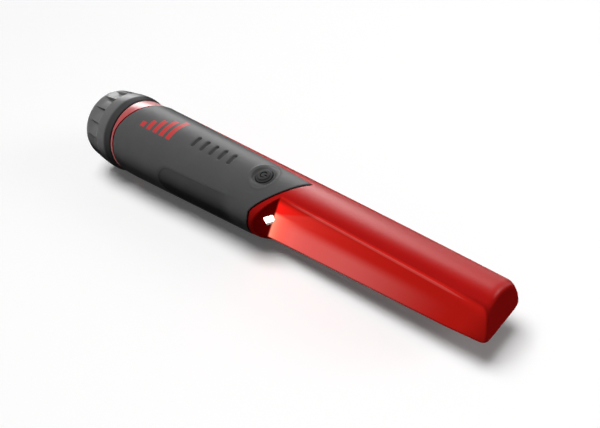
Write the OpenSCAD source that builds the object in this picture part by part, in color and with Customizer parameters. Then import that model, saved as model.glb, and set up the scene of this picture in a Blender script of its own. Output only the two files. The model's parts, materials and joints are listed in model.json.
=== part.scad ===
// Pinpointer probe: a hand-held detecting probe with a rubber grip, a screw cap, a push button and a side lamp.
// The long axis runs along X, with the cap at -X and the blunt detecting tip at +X. The button is on top (+Z),
// and the lamp shines along the flat on the -Y side. The part lies on the flat belly of its grip.

/* [Overall] */
// Length from the back of the cap to the tip
total_len = 236; // [230:1:252]
// Radial room outside the two cells for the thread, the collar, the housing and the grip
handle_room = 4.5; // [4.3:0.05:6]
// Length of the straight band at the back of the handle
band_len = 10; // [6:0.5:14]
// Loss of radius per mm along the grip
grip_taper = 0.0276; // [0.024:0.0002:0.029]
// Loss of radius per mm along the red housing
body_taper = 0.0304; // [0.029:0.0002:0.032]

/* [Screw cap] */
// Length of the cap that shows
cap_len = 22.8; // [20:0.2:28]
// Distance that the cap stands out beyond the handle, all round
cap_flare = 0.8; // [0.2:0.1:1.2]
// Radius of the cap's back face
cap_back_r = 16.4; // [14:0.1:17.2]
// Radius of the cap at the back end of its ribbed zone
cap_rib_r = 18.1; // [17.6:0.1:18.8]
// Length of the rounded edge at the cap's back
cap_edge = 2.6; // [2:0.1:3.2]
// Length from the back of the cap to the front of its ribs
cap_rib_len = 11; // [8:0.5:13]
// Length of the smooth run from the ribs to the cap's full radius
cap_ramp = 5; // [2:0.5:6]
// Number of finger ribs round the cap
cap_ribs = 16; // [10:1:22]
// Depth of the step at each finger rib
cap_rib_step = 0.9; // [0.4:0.1:1.2]
// Length of the threaded spigot in front of the cap
spigot_len = 11; // [10.6:0.1:13]
// Wall of the threaded spigot
spigot_wall = 2; // [1.6:0.1:3]
// Radius of the boss that carries the pressure pad
cap_boss_r = 6; // [4:0.5:8]
// Thickness of the cap's back wall
cap_floor = 4; // [3:0.5:7]
// Thickness of the cap's pressure pad
pad_t = 3.2; // [2.6:0.1:3.6]
// Distance of the pressure pad's seat behind the spigot's front end
pad_sunk = 1.3; // [0.8:0.1:1.6]

/* [Collar and thread] */
// Width of the red ring that shows
ring_len = 3; // [2.6:0.2:6]
// Depth of the red ring below the handle's surface
ring_sunk = 0.4; // [0.1:0.05:0.6]
// Length of the collar's sleeve inside the housing
sleeve_len = 13; // [11:0.5:15]
// Wall of the collar's sleeve outside the thread
sleeve_wall = 1.05; // [0.8:0.05:1.15]
// Advance of the thread in one turn
thread_lead = 3; // [2.8:0.1:3.4]
// Height of the thread
thread_h = 1; // [0.8:0.05:1.1]
// Turns of each thread
thread_turns = 1.75; // [1.25:0.25:2]
// Distance from the ring to the start of the collar's thread
thread_in = 2.4; // [2.2:0.1:2.8]
// Thickness of the collar's gasket
gasket_t = 0.8; // [0.5:0.1:1.2]
// Thickness of the cap's O-ring
oring_d = 2.1; // [1.8:0.1:2.3]

/* [Grip] */
// Thickness of the rubber sleeve
grip_t = 1.1; // [1:0.05:1.3]
// Place of the grip's front point along the probe
grip_point_x = 140.6; // [138:0.2:142]
// Distance of the grip's front point from the middle plane
grip_point_y = 7.7; // [6:0.1:9]
// Place of the corner where the front edge turns down the lamp side
grip_corner_x = 121.5; // [120.6:0.1:122.4]
// Distance of that corner from the middle plane
grip_corner_y = 14.2; // [13.6:0.1:14.8]
// Radius of the bowed front edge between the point and the corner
grip_bow_r = 54; // [45:1:80]
// Distance of the grip's side edge from the middle plane at the handle's back end
grip_edge_y = 19.4; // [18.6:0.1:20]
// Distance on the lamp side of the middle plane at which the grip's back edge starts to slant
grip_turn_y = 12; // [9:0.5:14]
// Slant of the grip's back edge: way along the axis for each mm across it
grip_slant = 0.33; // [0.2:0.01:0.4]
// Half width of the flat belly
belly_w = 6.5; // [5:0.5:8]
// Distance of the flat belly below the cap, the widest round piece
belly_proud = 0.2; // [0.1:0.05:1]
// Distance of the belly in front of the handle's straight band
belly_lead = 1; // [0.6:0.1:4]
// Front end of the belly
belly_x1 = 124; // [112:1:128]
// Back end of the finger pad on the lamp side
pad_x0 = 60; // [52:1:82]
// Depth of the finger pad
pad_depth = 0.5; // [0.3:0.1:0.7]
// Height of the finger pad's upper edge above the long axis
pad_top = 10.2; // [8:0.2:11.4]
// Height of the finger pad's lower edge below the long axis
pad_low = 7; // [4:0.5:9]
// Number of grip slots on top
slots = 5; // [3:1:6]
// Place of the first grip slot along the probe
slot_x0 = 76; // [68:1:82]
// Distance between the grip slots
slot_pitch = 6; // [5:0.2:7]
// Length of each grip slot across the handle
slot_len = 6; // [4:0.5:8]
// Width of each grip slot
slot_w = 1.8; // [1.2:0.1:2.4]
// Depth of each grip slot
slot_depth = 0.6; // [0.3:0.1:0.8]

/* [Probe] */
// Wall of the probe
wall = 2; // [1.6:0.1:2.2]
// Wall of the housing under the grip
tube_wall = 1.5; // [1.3:0.1:1.7]
// Thickness of the blunt tip
tip_wall = 3; // [2:0.5:5]
// Distance of the lamp-side flat from the long axis, beside the lamp
flat_d = 8.87; // [8.8:0.05:9.6]
// Lean of the side flats from upright, in degrees
flat_lean = 12.8; // [9:0.2:15]
// Angle at which the lamp-side flat runs outwards, in degrees
flat_flare = 0.45; // [0:0.05:0.7]
// Distance of the plain-side flat from the long axis, at the tip
plain_d = 10.9; // [10.8:0.1:12]
// Angle at which the plain-side flat runs inwards, in degrees
plain_taper = 3.5; // [2.5:0.1:4.5]
// Distance of the underside from the long axis, at the tip
under_d = 7.1; // [7.1:0.1:8]
// Angle at which the underside rises to the tip, in degrees
under_rise = 2.3; // [2:0.1:3]
// Size of the rounding round the tip
tip_round = 2.2; // [1.5:0.1:3]

/* [Lamp] */
// Place of the lamp along the probe
lamp_x = 127.3; // [126.6:0.1:128]
// Distance of the lamp from the middle plane
lamp_y = 10.4; // [10.3:0.1:11]
// Height of the lamp above the long axis
lamp_z = 1.6; // [1:0.1:2.4]
// Distance from the lamp to the back of the coil, where the lamp-side flat's distance is measured
lamp_lead = 14.7; // [14.1:0.2:15.3]
// Angle of the scoop's back wall to the long axis, in degrees
scoop_angle = 51; // [49:1:53]
// Lean of the scoop's back wall over the flat, in degrees
scoop_tilt = 12; // [10:0.5:14]
// Width of the lamp's window
window_w = 4; // [3.6:0.1:4.2]
// Height of the lamp's window
window_h = 5.6; // [4:0.1:6]
// Width of the lamp's flange round its window
window_rim = 0.8; // [0.5:0.1:1]
// Distance that the lamp's window stands out of the scoop's back wall
window_proud = 0.4; // [0.1:0.1:0.6]
// Side of the lamp's square light chip
emitter_w = 3; // [2:0.1:3.4]
// Thickness of the lamp's light chip
emitter_t = 0.8; // [0.6:0.1:1]

/* [Button] */
// Place of the button along the probe
button_x = 120.3; // [118.5:0.1:120.6]
// Radius of the button
button_r = 3.85; // [3.4:0.05:4]
// Travel of the button
button_travel = 0.6; // [0.4:0.05:0.7]
// Height of the button above the grip
button_proud = 0.25; // [0:0.05:0.5]
// Radius of the dish round the button
dish_r = 6.4; // [5.8:0.1:6.8]
// Depth of the dish
dish_depth = 0.9; // [0.5:0.05:1]
// Thickness of the button's retaining flange
flange_t = 0.8; // [0.6:0.05:1]
// Width of the button's ring seal
seal_w = 1.1; // [0.9:0.05:1.2]

/* [Battery] */
// Diameter of a cell
cell_d = 14.2; // [13.4:0.1:15.6]
// Length of a cell
cell_len = 50.2; // [48:0.1:50.6]
// Thickness of the holder's end plates
plate_t = 1.5; // [1.2:0.1:1.8]
// Length of the cell springs
spring_len = 3.5; // [3:0.1:4]
// Radius of the spring pins
pin_r = 1; // [0.7:0.05:1.2]

/* [Board and chassis] */
// Length of the circuit board in front of the switch
board_end = 0.7; // [0.6:0.05:0.9]
// Half width of the circuit board
board_w = 10.3; // [10:0.1:10.6]
// Thickness of the circuit board
board_t = 1.6; // [1.2:0.1:1.8]
// Distance of the circuit board's underside below the grip's surface at the button
board_drop = 11.08; // [10.9:0.02:11.2]
// Thickness of the chassis bulkhead
bulkhead_t = 2; // [1.6:0.1:2.6]
// Side of the switch body
switch_w = 6; // [5:0.2:6]
// Height of the switch body
switch_h = 3.2; // [3:0.1:3.3]
// Radius of the switch plunger
plunger_r = 1.7; // [1.2:0.1:2]
// Height of the switch plunger above the switch
plunger_h = 1.25; // [1:0.05:1.4]
// Radius of the board screws
screw_r = 0.9; // [0.7:0.05:1]

/* [Motor and buzzer] */
// Radius of the vibration motor
motor_r = 3.4; // [3:0.1:3.6]
// Length of the vibration motor
motor_len = 12; // [10:0.5:13]
// Radius of the motor's weight
weight_r = 3.1; // [2.6:0.1:3.3]
// Length of the motor's weight
weight_len = 4; // [3:0.2:4.4]
// Radius of the motor's shaft
shaft_r = 0.6; // [0.4:0.05:0.8]
// Distance of the motor from the middle plane
motor_y = 5.2; // [5:0.1:5.4]
// Distance of the motor below the long axis
motor_drop = 1.5; // [1.2:0.1:1.6]
// Distance of the motor in front of the bulkhead
motor_lead = 1.8; // [1.4:0.1:2]
// Radius of the buzzer
buzzer_r = 4.7; // [4:0.1:4.8]
// Height of the buzzer
buzzer_h = 6.5; // [5:0.5:7.5]

/* [Coil] */
// Radius of the ferrite rod
ferrite_r = 4; // [3.4:0.1:4.1]
// Wall of the bobbin
bobbin_wall = 0.8; // [0.6:0.05:0.9]
// Depth of the windings
winding_h = 1.3; // [1:0.1:1.4]
// Thickness of the bobbin's flanges
bobbin_flange = 1.2; // [0.8:0.1:1.6]
// Distance of the coil from the middle plane
coil_y = 1; // [0.9:0.1:1.1]
// Distance of the coil's axis below the top of the circuit board
coil_drop = 5.2; // [5:0.05:5.4]
// Thickness of the coil's shield
shield_t = 0.25; // [0.2:0.05:0.3]
// Thickness of the foam pad at the tip
tip_pad_t = 4; // [2:0.5:6]
// Radius of the coil's lead wires
lead_r = 0.45; // [0.3:0.05:0.5]

/* [Clearances] */
// Open joint beside the ring, and between the grip's edge and the housing
joint_gap = 0.2; // [0.1:0.05:0.3]
// Clearance of a moving piece, all round
run_gap = 0.3; // [0.25:0.05:0.35]
// Gap between the cell holder and the collar's thread
crest_gap = 0.15; // [0.1:0.05:0.2]
// Clearance of a piece that is dropped into its seat
seat_gap = 0.1; // [0.05:0.05:0.15]
// Running clearance of the motor's shaft
shaft_gap = 0.05; // [0.03:0.01:0.08]
// Thickness of the bond under the grip and round the windings
bond_gap = 0.03; // [0.02:0.01:0.05]
// Free room in front of a piece that its neighbour has to clear
end_gap = 0.4; // [0.3:0.05:0.5]

/* [Hidden] */
$fn = 72;

// Reach of the blocks that cut away everything beyond a plane
big = 400;
// Small overshoot that keeps a cut open at a face
eps = 0.05;
// Distance between the grip's front corner and the front end of the finger pad
edge_keep = pad_low * 4 / 7;

// The handle is as thick as its two cells side by side and the room outside them ask for
cell_y = cell_d / 2 + seat_gap;
holder_r = cell_d + 3 * seat_gap;
handle_r = holder_r + handle_room;
cap_r = handle_r + cap_flare;
ring_r = handle_r - ring_sunk;
belly_drop = cap_r + belly_proud;

// Stations along the axis, counted from the back of the cap
ring_x0 = cap_len + joint_gap;
ring_x1 = ring_x0 + ring_len;
sleeve_x1 = ring_x1 + sleeve_len;
gasket_x1 = sleeve_x1 + gasket_t;
grip_x0 = ring_x1 + joint_gap;
band_x1 = grip_x0 + band_len;
belly_x0 = band_x1 + belly_lead;
spigot_x1 = cap_len + spigot_len;
thread_x0 = ring_x1 + thread_in;
pad_seat_x = spigot_x1 - pad_sunk;
holder_x0 = pad_seat_x + pad_t + run_gap;
cell_x0 = holder_x0 + plate_t + spring_len;
cell_x1 = cell_x0 + cell_len;
holder_x1 = cell_x1 + seat_gap + plate_t;
contact_t = pin_r * 0.4;
bulkhead_x0 = holder_x1 + contact_t + 3 * run_gap;
shoulder_x = bulkhead_x0 + bulkhead_t;
board_x0 = shoulder_x + end_gap;
board_x1 = button_x + switch_w / 2 + board_end;
board_len = board_x1 - board_x0;
tip_x = total_len;
cavity_x1 = tip_x - tip_wall;
coil_x0 = lamp_x + lamp_lead;
coil_x1 = cavity_x1 - tip_pad_t - 2 * seat_gap;
motor_x0 = shoulder_x + motor_lead;
flange_xs = [coil_x0, (coil_x0 + coil_x1) / 2 - bobbin_flange / 2, coil_x1 - bobbin_flange];
body_mid_x = grip_point_x + 2 * grip_t;

// Radii
bore_r = holder_r + run_gap;
female_crest_r = holder_r + crest_gap;
female_root_r = female_crest_r + thread_h;
male_crest_r = female_root_r - run_gap;
male_root_r = female_crest_r - run_gap;
spigot_bore_r = male_root_r - spigot_wall;
sleeve_r = female_root_r + sleeve_wall;
groove_r = female_root_r - oring_d - 3 * seat_gap;
groove_x0 = cap_len + oring_d / 3;
groove_x1 = groove_x0 + oring_d + 2 * seat_gap;
// Outer radius of the wound bobbin inside its shield
coil_r = ferrite_r + 2 * seat_gap + bobbin_wall + winding_h + end_gap;

// Rails of the chassis under the board's long edges
rail_y1 = board_w - run_gap;
rail_y0 = rail_y1 - bulkhead_t;

// Heights of the board and of the button stack on it
board_z = grip_r(button_x) - board_drop;
board_top = board_z + board_t;
coil_z = board_top - coil_drop;
switch_top = board_top + switch_h;
plunger_top = switch_top + plunger_h;
plunger_seat = switch_h * 0.3;
flange_z = plunger_top + seat_gap;
flange_top = flange_z + flange_t;
seal_z0 = flange_top + joint_gap;
seal_z1 = seal_z0 + seal_w;
button_hole_r = button_r + run_gap;
seal_r = button_r + seat_gap + seal_w;
motor_z = -motor_drop;

// Radius of the grip and of the red housing at a station
function grip_r(x) = handle_r - grip_taper * max(0, x - band_x1);
function body_r(x) = handle_r - body_taper * max(0, x - band_x1);
function tube_r(x) = grip_r(x) - grip_t;

// Centre of the grip's bowed front edge, from its two ends and its radius
bow_chord = [grip_point_x - grip_corner_x, grip_point_y + grip_corner_y];
bow_half = norm(bow_chord) / 2;
bow_side = [-bow_chord[1], bow_chord[0]] / norm(bow_chord);
bow_mid = [(grip_point_x + grip_corner_x) / 2, (grip_point_y - grip_corner_y) / 2];
bow_centre = bow_mid + bow_side * sqrt(grip_bow_r * grip_bow_r - bow_half * bow_half);
bow_steps = 16;
// Slope of the grip's side edge, seen from above
side_slope = (grip_point_y - grip_edge_y) / grip_point_x;
function bow_x(y, inset) = bow_centre[0] + sqrt(pow(grip_bow_r - inset, 2) - pow(y - bow_centre[1], 2));

// Frame: the origin is under the middle of the part, on the surface that it lies on
module placed() {
    translate([-total_len / 2, 0, belly_drop])
        children();
}

// A turned shape about the long axis from points of radius and station
module lathe(points) {
    rotate([0, 90, 0])
        rotate_extrude()
            polygon(points);
}

// A round bar along the long axis
module bar(r, x0, x1, y = 0, z = 0) {
    translate([x0, y, z])
        rotate([0, 90, 0])
            cylinder(r = r, h = x1 - x0);
}

// A box from its two corners
module block(low, high) {
    translate(low)
        cube(high - low);
}

// The grip's outline seen from above, drawn in by an inset; below the axis it ends at its front corner
module grip_plan(inset) {
    point_y = grip_point_y - inset;
    bow = [for (i = [0:bow_steps])
        let (y = -grip_corner_y + (point_y + grip_corner_y) * i / bow_steps) [bow_x(y, inset), y]];
    back_x = grip_x0 - joint_gap / 2;
    slant_inset = inset * norm([1, grip_slant]);
    edge_y = grip_edge_y - inset * norm([1, side_slope]);
    corner_x = (back_x + slant_inset + grip_slant * (edge_y + grip_turn_y)) / (1 - grip_slant * side_slope);
    turn_y = -grip_turn_y - (slant_inset - inset) / grip_slant;
    back = [[corner_x, edge_y + side_slope * corner_x], [back_x + inset, turn_y], [0, turn_y],
            [0, -2 * handle_r], [bow[0][0] - 1, -2 * handle_r]];
    difference() {
        translate([0, 0, -big / 2])
            linear_extrude(height = big)
                polygon(concat(bow, back));
        block([grip_corner_x - inset, -big / 2, -big], [big, big / 2, 0]);
    }
}

// Everything beyond the lamp-side flat
module lamp_flat(d, x0 = coil_x0, flare = flat_flare) {
    translate([x0, 0, 0])
        rotate([-flat_lean, 0, 0])
            translate([0, -d, 0])
                rotate([0, 0, -flare])
                    translate([-big / 2, -big, -big / 2])
                        cube(big);
}

// Everything beyond the plain-side flat
module plain_flat(d, x0 = tip_x, taper = plain_taper) {
    translate([x0, 0, 0])
        rotate([flat_lean, 0, 0])
            translate([0, d, 0])
                rotate([0, 0, -taper])
                    translate([-big / 2, 0, -big / 2])
                        cube(big);
}

// Everything below the rising underside
module underside(d, x0 = tip_x, rise = under_rise) {
    translate([x0, 0, -d])
        rotate([0, -rise, 0])
            translate([-big / 2, -big / 2, -big])
                cube(big);
}

// The lamp's own place: the scoop's back wall is its local XZ plane, and -Y points out of it
module at_lamp() {
    translate([lamp_x, -lamp_y, lamp_z])
        rotate([scoop_tilt, 0, scoop_angle])
            children();
}

// The scoop, with the flat and the underside in front of its back wall, grown inwards by an inset
module scoop(inset) {
    intersection() {
        union() {
            lamp_flat(flat_d - inset);
            underside(under_d - inset);
        }
        at_lamp()
            translate([-big / 2, inset - big, -big / 2])
                cube(big);
    }
}

// A helical thread ridge: its base is sunk into the wall at root_r, and its crest is at crest_r
module thread_ridge(root_r, crest_r, x0, from_turn) {
    segs = 28;
    steps = round(thread_turns * segs);
    sink = root_r > crest_r ? end_gap : -end_gap;
    half_base = thread_lead * 0.2;
    half_crest = thread_lead * 0.1;
    profile = [[-half_base, root_r + sink], [-half_crest, crest_r], [half_crest, crest_r],
               [half_base, root_r + sink]];
    points = [for (i = [0:steps], p = profile)
        let (a = 360 * (from_turn + i / segs))
            [x0 + thread_lead * i / segs + p[0], p[1] * cos(a), p[1] * sin(a)]];
    sides = [for (i = [0:steps - 1], j = [0:3])
        let (a = 4 * i + j, b = 4 * i + (j + 1) % 4)
            each [[a, b, b + 4], [a, b + 4, a + 4]]];
    last = 4 * steps;
    ends = [[0, 3, 2], [0, 2, 1], [last, last + 1, last + 2], [last, last + 2, last + 3]];
    turned = root_r > crest_r ? [for (f = concat(sides, ends)) [f[2], f[1], f[0]]] : concat(sides, ends);
    polyhedron(points, turned);
}

// Outer form of the red housing before it is hollowed
module body_form() {
    difference() {
        union() {
            lathe([[0, ring_x1], [tube_r(ring_x1), ring_x1], [tube_r(band_x1), band_x1],
                   [tube_r(body_mid_x), body_mid_x], [0, body_mid_x]]);
            difference() {
                lathe(concat([[0, ring_x1], [ring_r, ring_x1], [ring_r, band_x1 - ring_sunk],
                              [handle_r, band_x1]],
                             [for (a = [0:15:90])
                                 let (r0 = body_r(tip_x) - tip_round)
                                     [r0 + tip_round * cos(a), tip_x - tip_round + tip_round * sin(a)]],
                             [[0, tip_x]]));
                grip_plan(0);
            }
        }
        scoop(0);
        plain_flat(plain_d);
        tip_edges();
    }
}

// Bevels where the flats and the underside meet the blunt tip
module tip_edges() {
    bevel = tip_round * 0.6;
    for (part = [1, 2]) {
        angle = 30 * part;
        back = bevel * (part == 1 ? 1.6 : 0.7);
        drop = bevel * (part == 1 ? 0 : 0.5);
        lamp_flat(flat_d + tan(flat_flare) * (tip_x - lamp_x) - drop, tip_x - back, -angle);
        plain_flat(plain_d - drop, tip_x - back, angle);
        underside(under_d - drop, tip_x - back, angle);
    }
}

// The hollow inside the housing
module body_cavity() {
    front_r = body_r(cavity_x1) - wall;
    neck_r = tube_r(shoulder_x) - tube_wall * 1.5;
    difference() {
        lathe([[0, ring_x1 - 1], [bore_r, ring_x1 - 1], [bore_r, shoulder_x], [neck_r, shoulder_x],
               [tube_r(body_mid_x) - tube_wall, body_mid_x], [front_r, cavity_x1], [0, cavity_x1]]);
        scoop(wall);
        plain_flat(plain_d - wall);
    }
}

module probe_body() {
    color([0.72, 0.07, 0.06])
        difference() {
            body_form();
            body_cavity();
            bar(sleeve_r + seat_gap / 2, ring_x1 - 1, gasket_x1);
            translate([button_x, 0, 0]) {
                cylinder(r = button_hole_r, h = 2 * handle_r);
                cylinder(r = seal_r + seat_gap, h = seal_z1 + seat_gap / 2);
            }
            at_lamp()
                block([-window_w / 2 - seat_gap / 2, -wall, -window_h / 2 - seat_gap / 2],
                      [window_w / 2 + seat_gap / 2, 2 * wall, window_h / 2 + seat_gap / 2]);
        }
}

// Flat belly under the grip, with sloping sides and ends
module belly() {
    side_h = belly_w * 1.08;
    splay = belly_w * 0.6;
    edge = splay / 2;
    intersection() {
        translate([belly_x0, 0, 0])
            rotate([90, 0, 90])
                linear_extrude(height = belly_x1 - belly_x0)
                    polygon([[-belly_w, -belly_drop], [belly_w, -belly_drop],
                             [belly_w + splay, side_h - belly_drop], [-belly_w - splay, side_h - belly_drop]]);
        rotate([90, 0, 0])
            translate([0, 0, -handle_r])
                linear_extrude(height = 2 * handle_r)
                    polygon([[belly_x0 + edge, -belly_drop], [belly_x1 - 2 * side_h, -belly_drop],
                             [belly_x1, side_h - belly_drop], [belly_x0, side_h - belly_drop],
                             [belly_x0, edge / 2 - belly_drop]]);
    }
}

// Grip slot across the top of the handle, with round ends
module grip_slot(x) {
    floor_z = grip_r(x) - slot_depth;
    half = slot_len / 2 - slot_w / 2;
    for (side = [-1, 1])
        translate([x, side * half, floor_z])
            cylinder(d = slot_w, h = handle_r);
    block([x - slot_w / 2, -half, floor_z], [x + slot_w / 2, half, 2 * handle_r]);
}

// Shallow finger pad on the lamp side
module finger_pad() {
    end_r = (pad_top + pad_low) / 2;
    mid_z = (pad_top - pad_low) / 2;
    intersection() {
        difference() {
            lathe([[0, grip_x0], [big, grip_x0], [big, grip_point_x], [0, grip_point_x]]);
            lathe([[0, grip_x0], [handle_r - pad_depth, grip_x0], [handle_r - pad_depth, band_x1],
                   [grip_r(grip_point_x) - pad_depth, grip_point_x], [0, grip_point_x]]);
        }
        rotate([90, 0, 0])
            linear_extrude(height = 2 * handle_r) {
                translate([pad_x0 + end_r, mid_z])
                    circle(r = end_r);
                translate([pad_x0 + end_r, -pad_low])
                    square([grip_corner_x - edge_keep - pad_x0 - end_r, pad_top + pad_low]);
            }
    }
}

module grip_sleeve() {
    color([0.16, 0.16, 0.17])
        difference() {
            intersection() {
                union() {
                    lathe([[0, grip_x0], [handle_r, grip_x0], [handle_r, band_x1],
                           [grip_r(body_mid_x), body_mid_x], [0, body_mid_x]]);
                    belly();
                }
                grip_plan(joint_gap / 2);
            }
            lathe([[0, 0], [tube_r(0) + bond_gap, 0], [tube_r(band_x1) + bond_gap, band_x1],
                   [tube_r(body_mid_x) + bond_gap, body_mid_x], [0, body_mid_x]]);
            translate([button_x, 0, 0]) {
                cylinder(r = button_hole_r, h = 2 * handle_r);
                translate([0, 0, grip_r(button_x) - dish_depth])
                    cylinder(r1 = dish_r - 4 * run_gap, r2 = dish_r + 2 * run_gap, h = dish_depth * 1.5);
            }
            for (i = [0:slots - 1])
                grip_slot(slot_x0 + i * slot_pitch);
            finger_pad();
        }
}

module collar_ring() {
    edge = ring_len * 0.075;
    lead_in = 2 * edge;
    color([0.75, 0.10, 0.10]) {
        lathe([[female_root_r, ring_x0 + lead_in], [female_root_r + lead_in, ring_x0],
               [ring_r - edge, ring_x0], [ring_r, ring_x0 + edge], [ring_r, ring_x1 - edge],
               [ring_r - edge, ring_x1], [sleeve_r, ring_x1], [sleeve_r, sleeve_x1],
               [female_root_r, sleeve_x1]]);
        thread_ridge(female_root_r, female_crest_r, thread_x0, 0);
    }
}

module battery_cap() {
    shoulder = cap_rib_len + cap_ramp;
    edge = cap_edge * 0.2;
    color([0.20, 0.20, 0.21])
        difference() {
            union() {
                lathe([[0, 0], [cap_back_r, 0], [cap_rib_r - edge, cap_edge / 2], [cap_rib_r, cap_edge],
                       [cap_r - edge, cap_rib_len], [cap_r, shoulder], [cap_r, cap_len - edge],
                       [cap_r - edge, cap_len], [male_root_r, cap_len], [male_root_r, groove_x0],
                       [groove_r, groove_x0], [groove_r, groove_x1], [male_root_r, groove_x1],
                       [male_root_r, spigot_x1 - edge], [male_root_r - edge, spigot_x1],
                       [spigot_bore_r, spigot_x1], [spigot_bore_r, cap_floor], [cap_boss_r, cap_floor],
                       [cap_boss_r, pad_seat_x], [0, pad_seat_x]]);
                thread_ridge(male_root_r, male_crest_r, thread_x0 - thread_lead / 4, 0.25);
            }
            for (i = [0:cap_ribs - 1])
                rotate([360 / cap_ribs * (i + 0.5), 0, 0])
                    cap_rib_cut();
        }
}

// One finger rib: a shallow facet that starts flush with the cap and ends in a step, and runs out to the front
module cap_rib_cut() {
    turn = 360 / cap_ribs;
    step_r = cap_rib_r - cap_rib_step;
    tilt = atan((step_r - cap_rib_r * cos(turn)) / (cap_rib_r * sin(turn)));
    rise = atan((cap_r - cap_edge * 0.1 - step_r) / (cap_rib_len - cap_edge));
    translate([cap_edge, 0, step_r])
        rotate([tilt, -rise, 0])
            translate([-cap_r, -cap_r, 0])
                cube([2 * cap_r, cap_r, cap_r]);
}

module cap_seal() {
    color([0.05, 0.05, 0.05])
        translate([(groove_x0 + groove_x1) / 2, 0, 0])
            rotate([0, 90, 0])
                rotate_extrude()
                    translate([groove_r + seat_gap + oring_d / 2, 0])
                        circle(d = oring_d);
}

module cap_pad() {
    color([0.25, 0.25, 0.27])
        bar(cap_boss_r + pad_t / 4, pad_seat_x, pad_seat_x + pad_t);
}

module collar_gasket() {
    color([0.08, 0.08, 0.08])
        lathe([[female_crest_r, sleeve_x1], [sleeve_r - seat_gap, sleeve_x1],
               [sleeve_r - seat_gap, gasket_x1], [female_crest_r, gasket_x1]]);
}

module battery_holder() {
    bar_w = plate_t;
    bar_z = cell_d * 0.37;
    color([0.12, 0.12, 0.13])
        difference() {
            union() {
                bar(holder_r, holder_x0, holder_x0 + plate_t);
                bar(holder_r, holder_x1 - plate_t, holder_x1);
                intersection() {
                    bar(holder_r, holder_x0, holder_x1);
                    for (side = [0, 1])
                        mirror([0, 0, side])
                            block([holder_x0, -bar_w, bar_z], [holder_x1, bar_w, handle_r]);
                }
            }
            for (side = [-1, 1])
                bar(2 * pin_r, holder_x1 - 2 * plate_t, holder_x1 + 1, side * cell_y, 0);
        }
}

// One cell, with its button end at the front or at the back
module cell(y, front) {
    tip_h = cell_d * 0.07;
    tip_r = cell_d * 0.19;
    edge = cell_d * 0.03;
    mirror_x = cell_x0 + cell_x1;
    translate([front ? 0 : mirror_x, y, 0])
        mirror([front ? 0 : 1, 0, 0])
            lathe([[0, cell_x0], [cell_d / 2 - edge, cell_x0], [cell_d / 2, cell_x0 + edge],
                   [cell_d / 2, cell_x1 - tip_h - edge], [cell_d / 2 - edge, cell_x1 - tip_h],
                   [tip_r, cell_x1 - tip_h], [tip_r, cell_x1], [0, cell_x1]]);
}

module cell_left() {
    color([0.75, 0.62, 0.30])
        cell(-cell_y, true);
}

module cell_right() {
    color([0.70, 0.58, 0.28])
        cell(cell_y, false);
}

module holder_springs() {
    spring_r = cell_d * 0.3;
    spring_wall = spring_r * 0.16;
    color([0.75, 0.75, 0.76])
        for (side = [-1, 1])
            difference() {
                bar(spring_r, holder_x0 + plate_t, cell_x0 - seat_gap, side * cell_y);
                bar(spring_r - spring_wall, holder_x0, cell_x0, side * cell_y);
            }
}

module holder_contacts() {
    color([0.80, 0.72, 0.45])
        for (side = [-1, 1])
            block([holder_x1, side * cell_y - 3 * pin_r, -3 * pin_r],
                  [holder_x1 + contact_t, side * cell_y + 3 * pin_r, board_top]);
}

module contact_pins() {
    color([0.85, 0.70, 0.35])
        for (side = [-1, 1])
            bar(pin_r, holder_x1 + contact_t + seat_gap, board_x0 - seat_gap, side * cell_y, board_z);
}

// Inner frame: bulkhead, two board rails, a lower spine, a motor cradle and the coil's rear socket
module chassis() {
    rail_h = 1.1 * bulkhead_t;
    spine_h = bulkhead_t;
    spine_z = motor_z - motor_r - 2.3 * spine_h;
    spine_y0 = coil_y - 1.25 * spine_h;
    spine_y1 = coil_y + 1.25 * spine_h;
    socket_x0 = coil_x0 - 2 * bulkhead_t;
    socket_x1 = coil_x0 - bulkhead_t / 2;
    rib_x = board_x1 - 1.5 * bulkhead_t;
    cradle_w = motor_r + end_gap;
    rib_y = (rail_y0 + rail_y1) / 2;
    color([0.30, 0.31, 0.33])
        difference() {
            union() {
                bar(bore_r - run_gap, bulkhead_x0, shoulder_x);
                for (side = [0, 1])
                    mirror([0, side, 0])
                        block([shoulder_x - eps, rail_y0, board_z - rail_h], [rib_x, rail_y1, board_z]);
                block([shoulder_x - eps, spine_y0, spine_z], [rib_x, spine_y1, spine_z + spine_h]);
                block([rib_x - rail_h / 2, spine_y0, coil_z - coil_r],
                      [socket_x1, spine_y1, coil_z - coil_r + spine_h]);
                block([rib_x - rail_h * 0.7, -rib_y, spine_z], [rib_x, rib_y, board_z - rail_h / 2]);
                bar(coil_r, socket_x0, socket_x1, coil_y, coil_z);
                block([motor_x0 + rail_h / 2, motor_y - cradle_w, spine_z + spine_h / 2],
                      [motor_x0 + motor_len - rail_h / 2, motor_y + cradle_w, motor_z]);
            }
            bar(ferrite_r + bobbin_wall + 2 * seat_gap, socket_x0 - 1, socket_x1 + 1, coil_y, coil_z);
            bar(motor_r + bond_gap, shoulder_x + eps, rib_x - rail_h, motor_y, motor_z);
            block([socket_x0 - 1, coil_y - 6 * lead_r, board_top - end_gap],
                  [socket_x1 + 1, coil_y + 6 * lead_r, handle_r]);
            for (side = [-1, 1])
                bar(pin_r + seat_gap / 2, bulkhead_x0 - 1, shoulder_x + 1, side * cell_y, board_z);
            board_screw_places(board_z - rail_h - 1)
                cylinder(r = screw_r + seat_gap / 2, h = rail_h + 2);
        }
}

// The four places of the board screws
module board_screw_places(z) {
    for (x = [board_x0 + board_len * 0.13, board_x1 - board_len * 0.23], side = [-1, 1])
        translate([x, side * (rail_y0 + rail_y1) / 2, z])
            children();
}

module main_board() {
    color([0.05, 0.32, 0.16])
        difference() {
            block([board_x0, -board_w, board_z], [board_x1, board_w, board_top]);
            board_screw_places(board_z - 1)
                cylinder(r = screw_r + seat_gap / 2, h = board_t + 2);
        }
}

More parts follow.
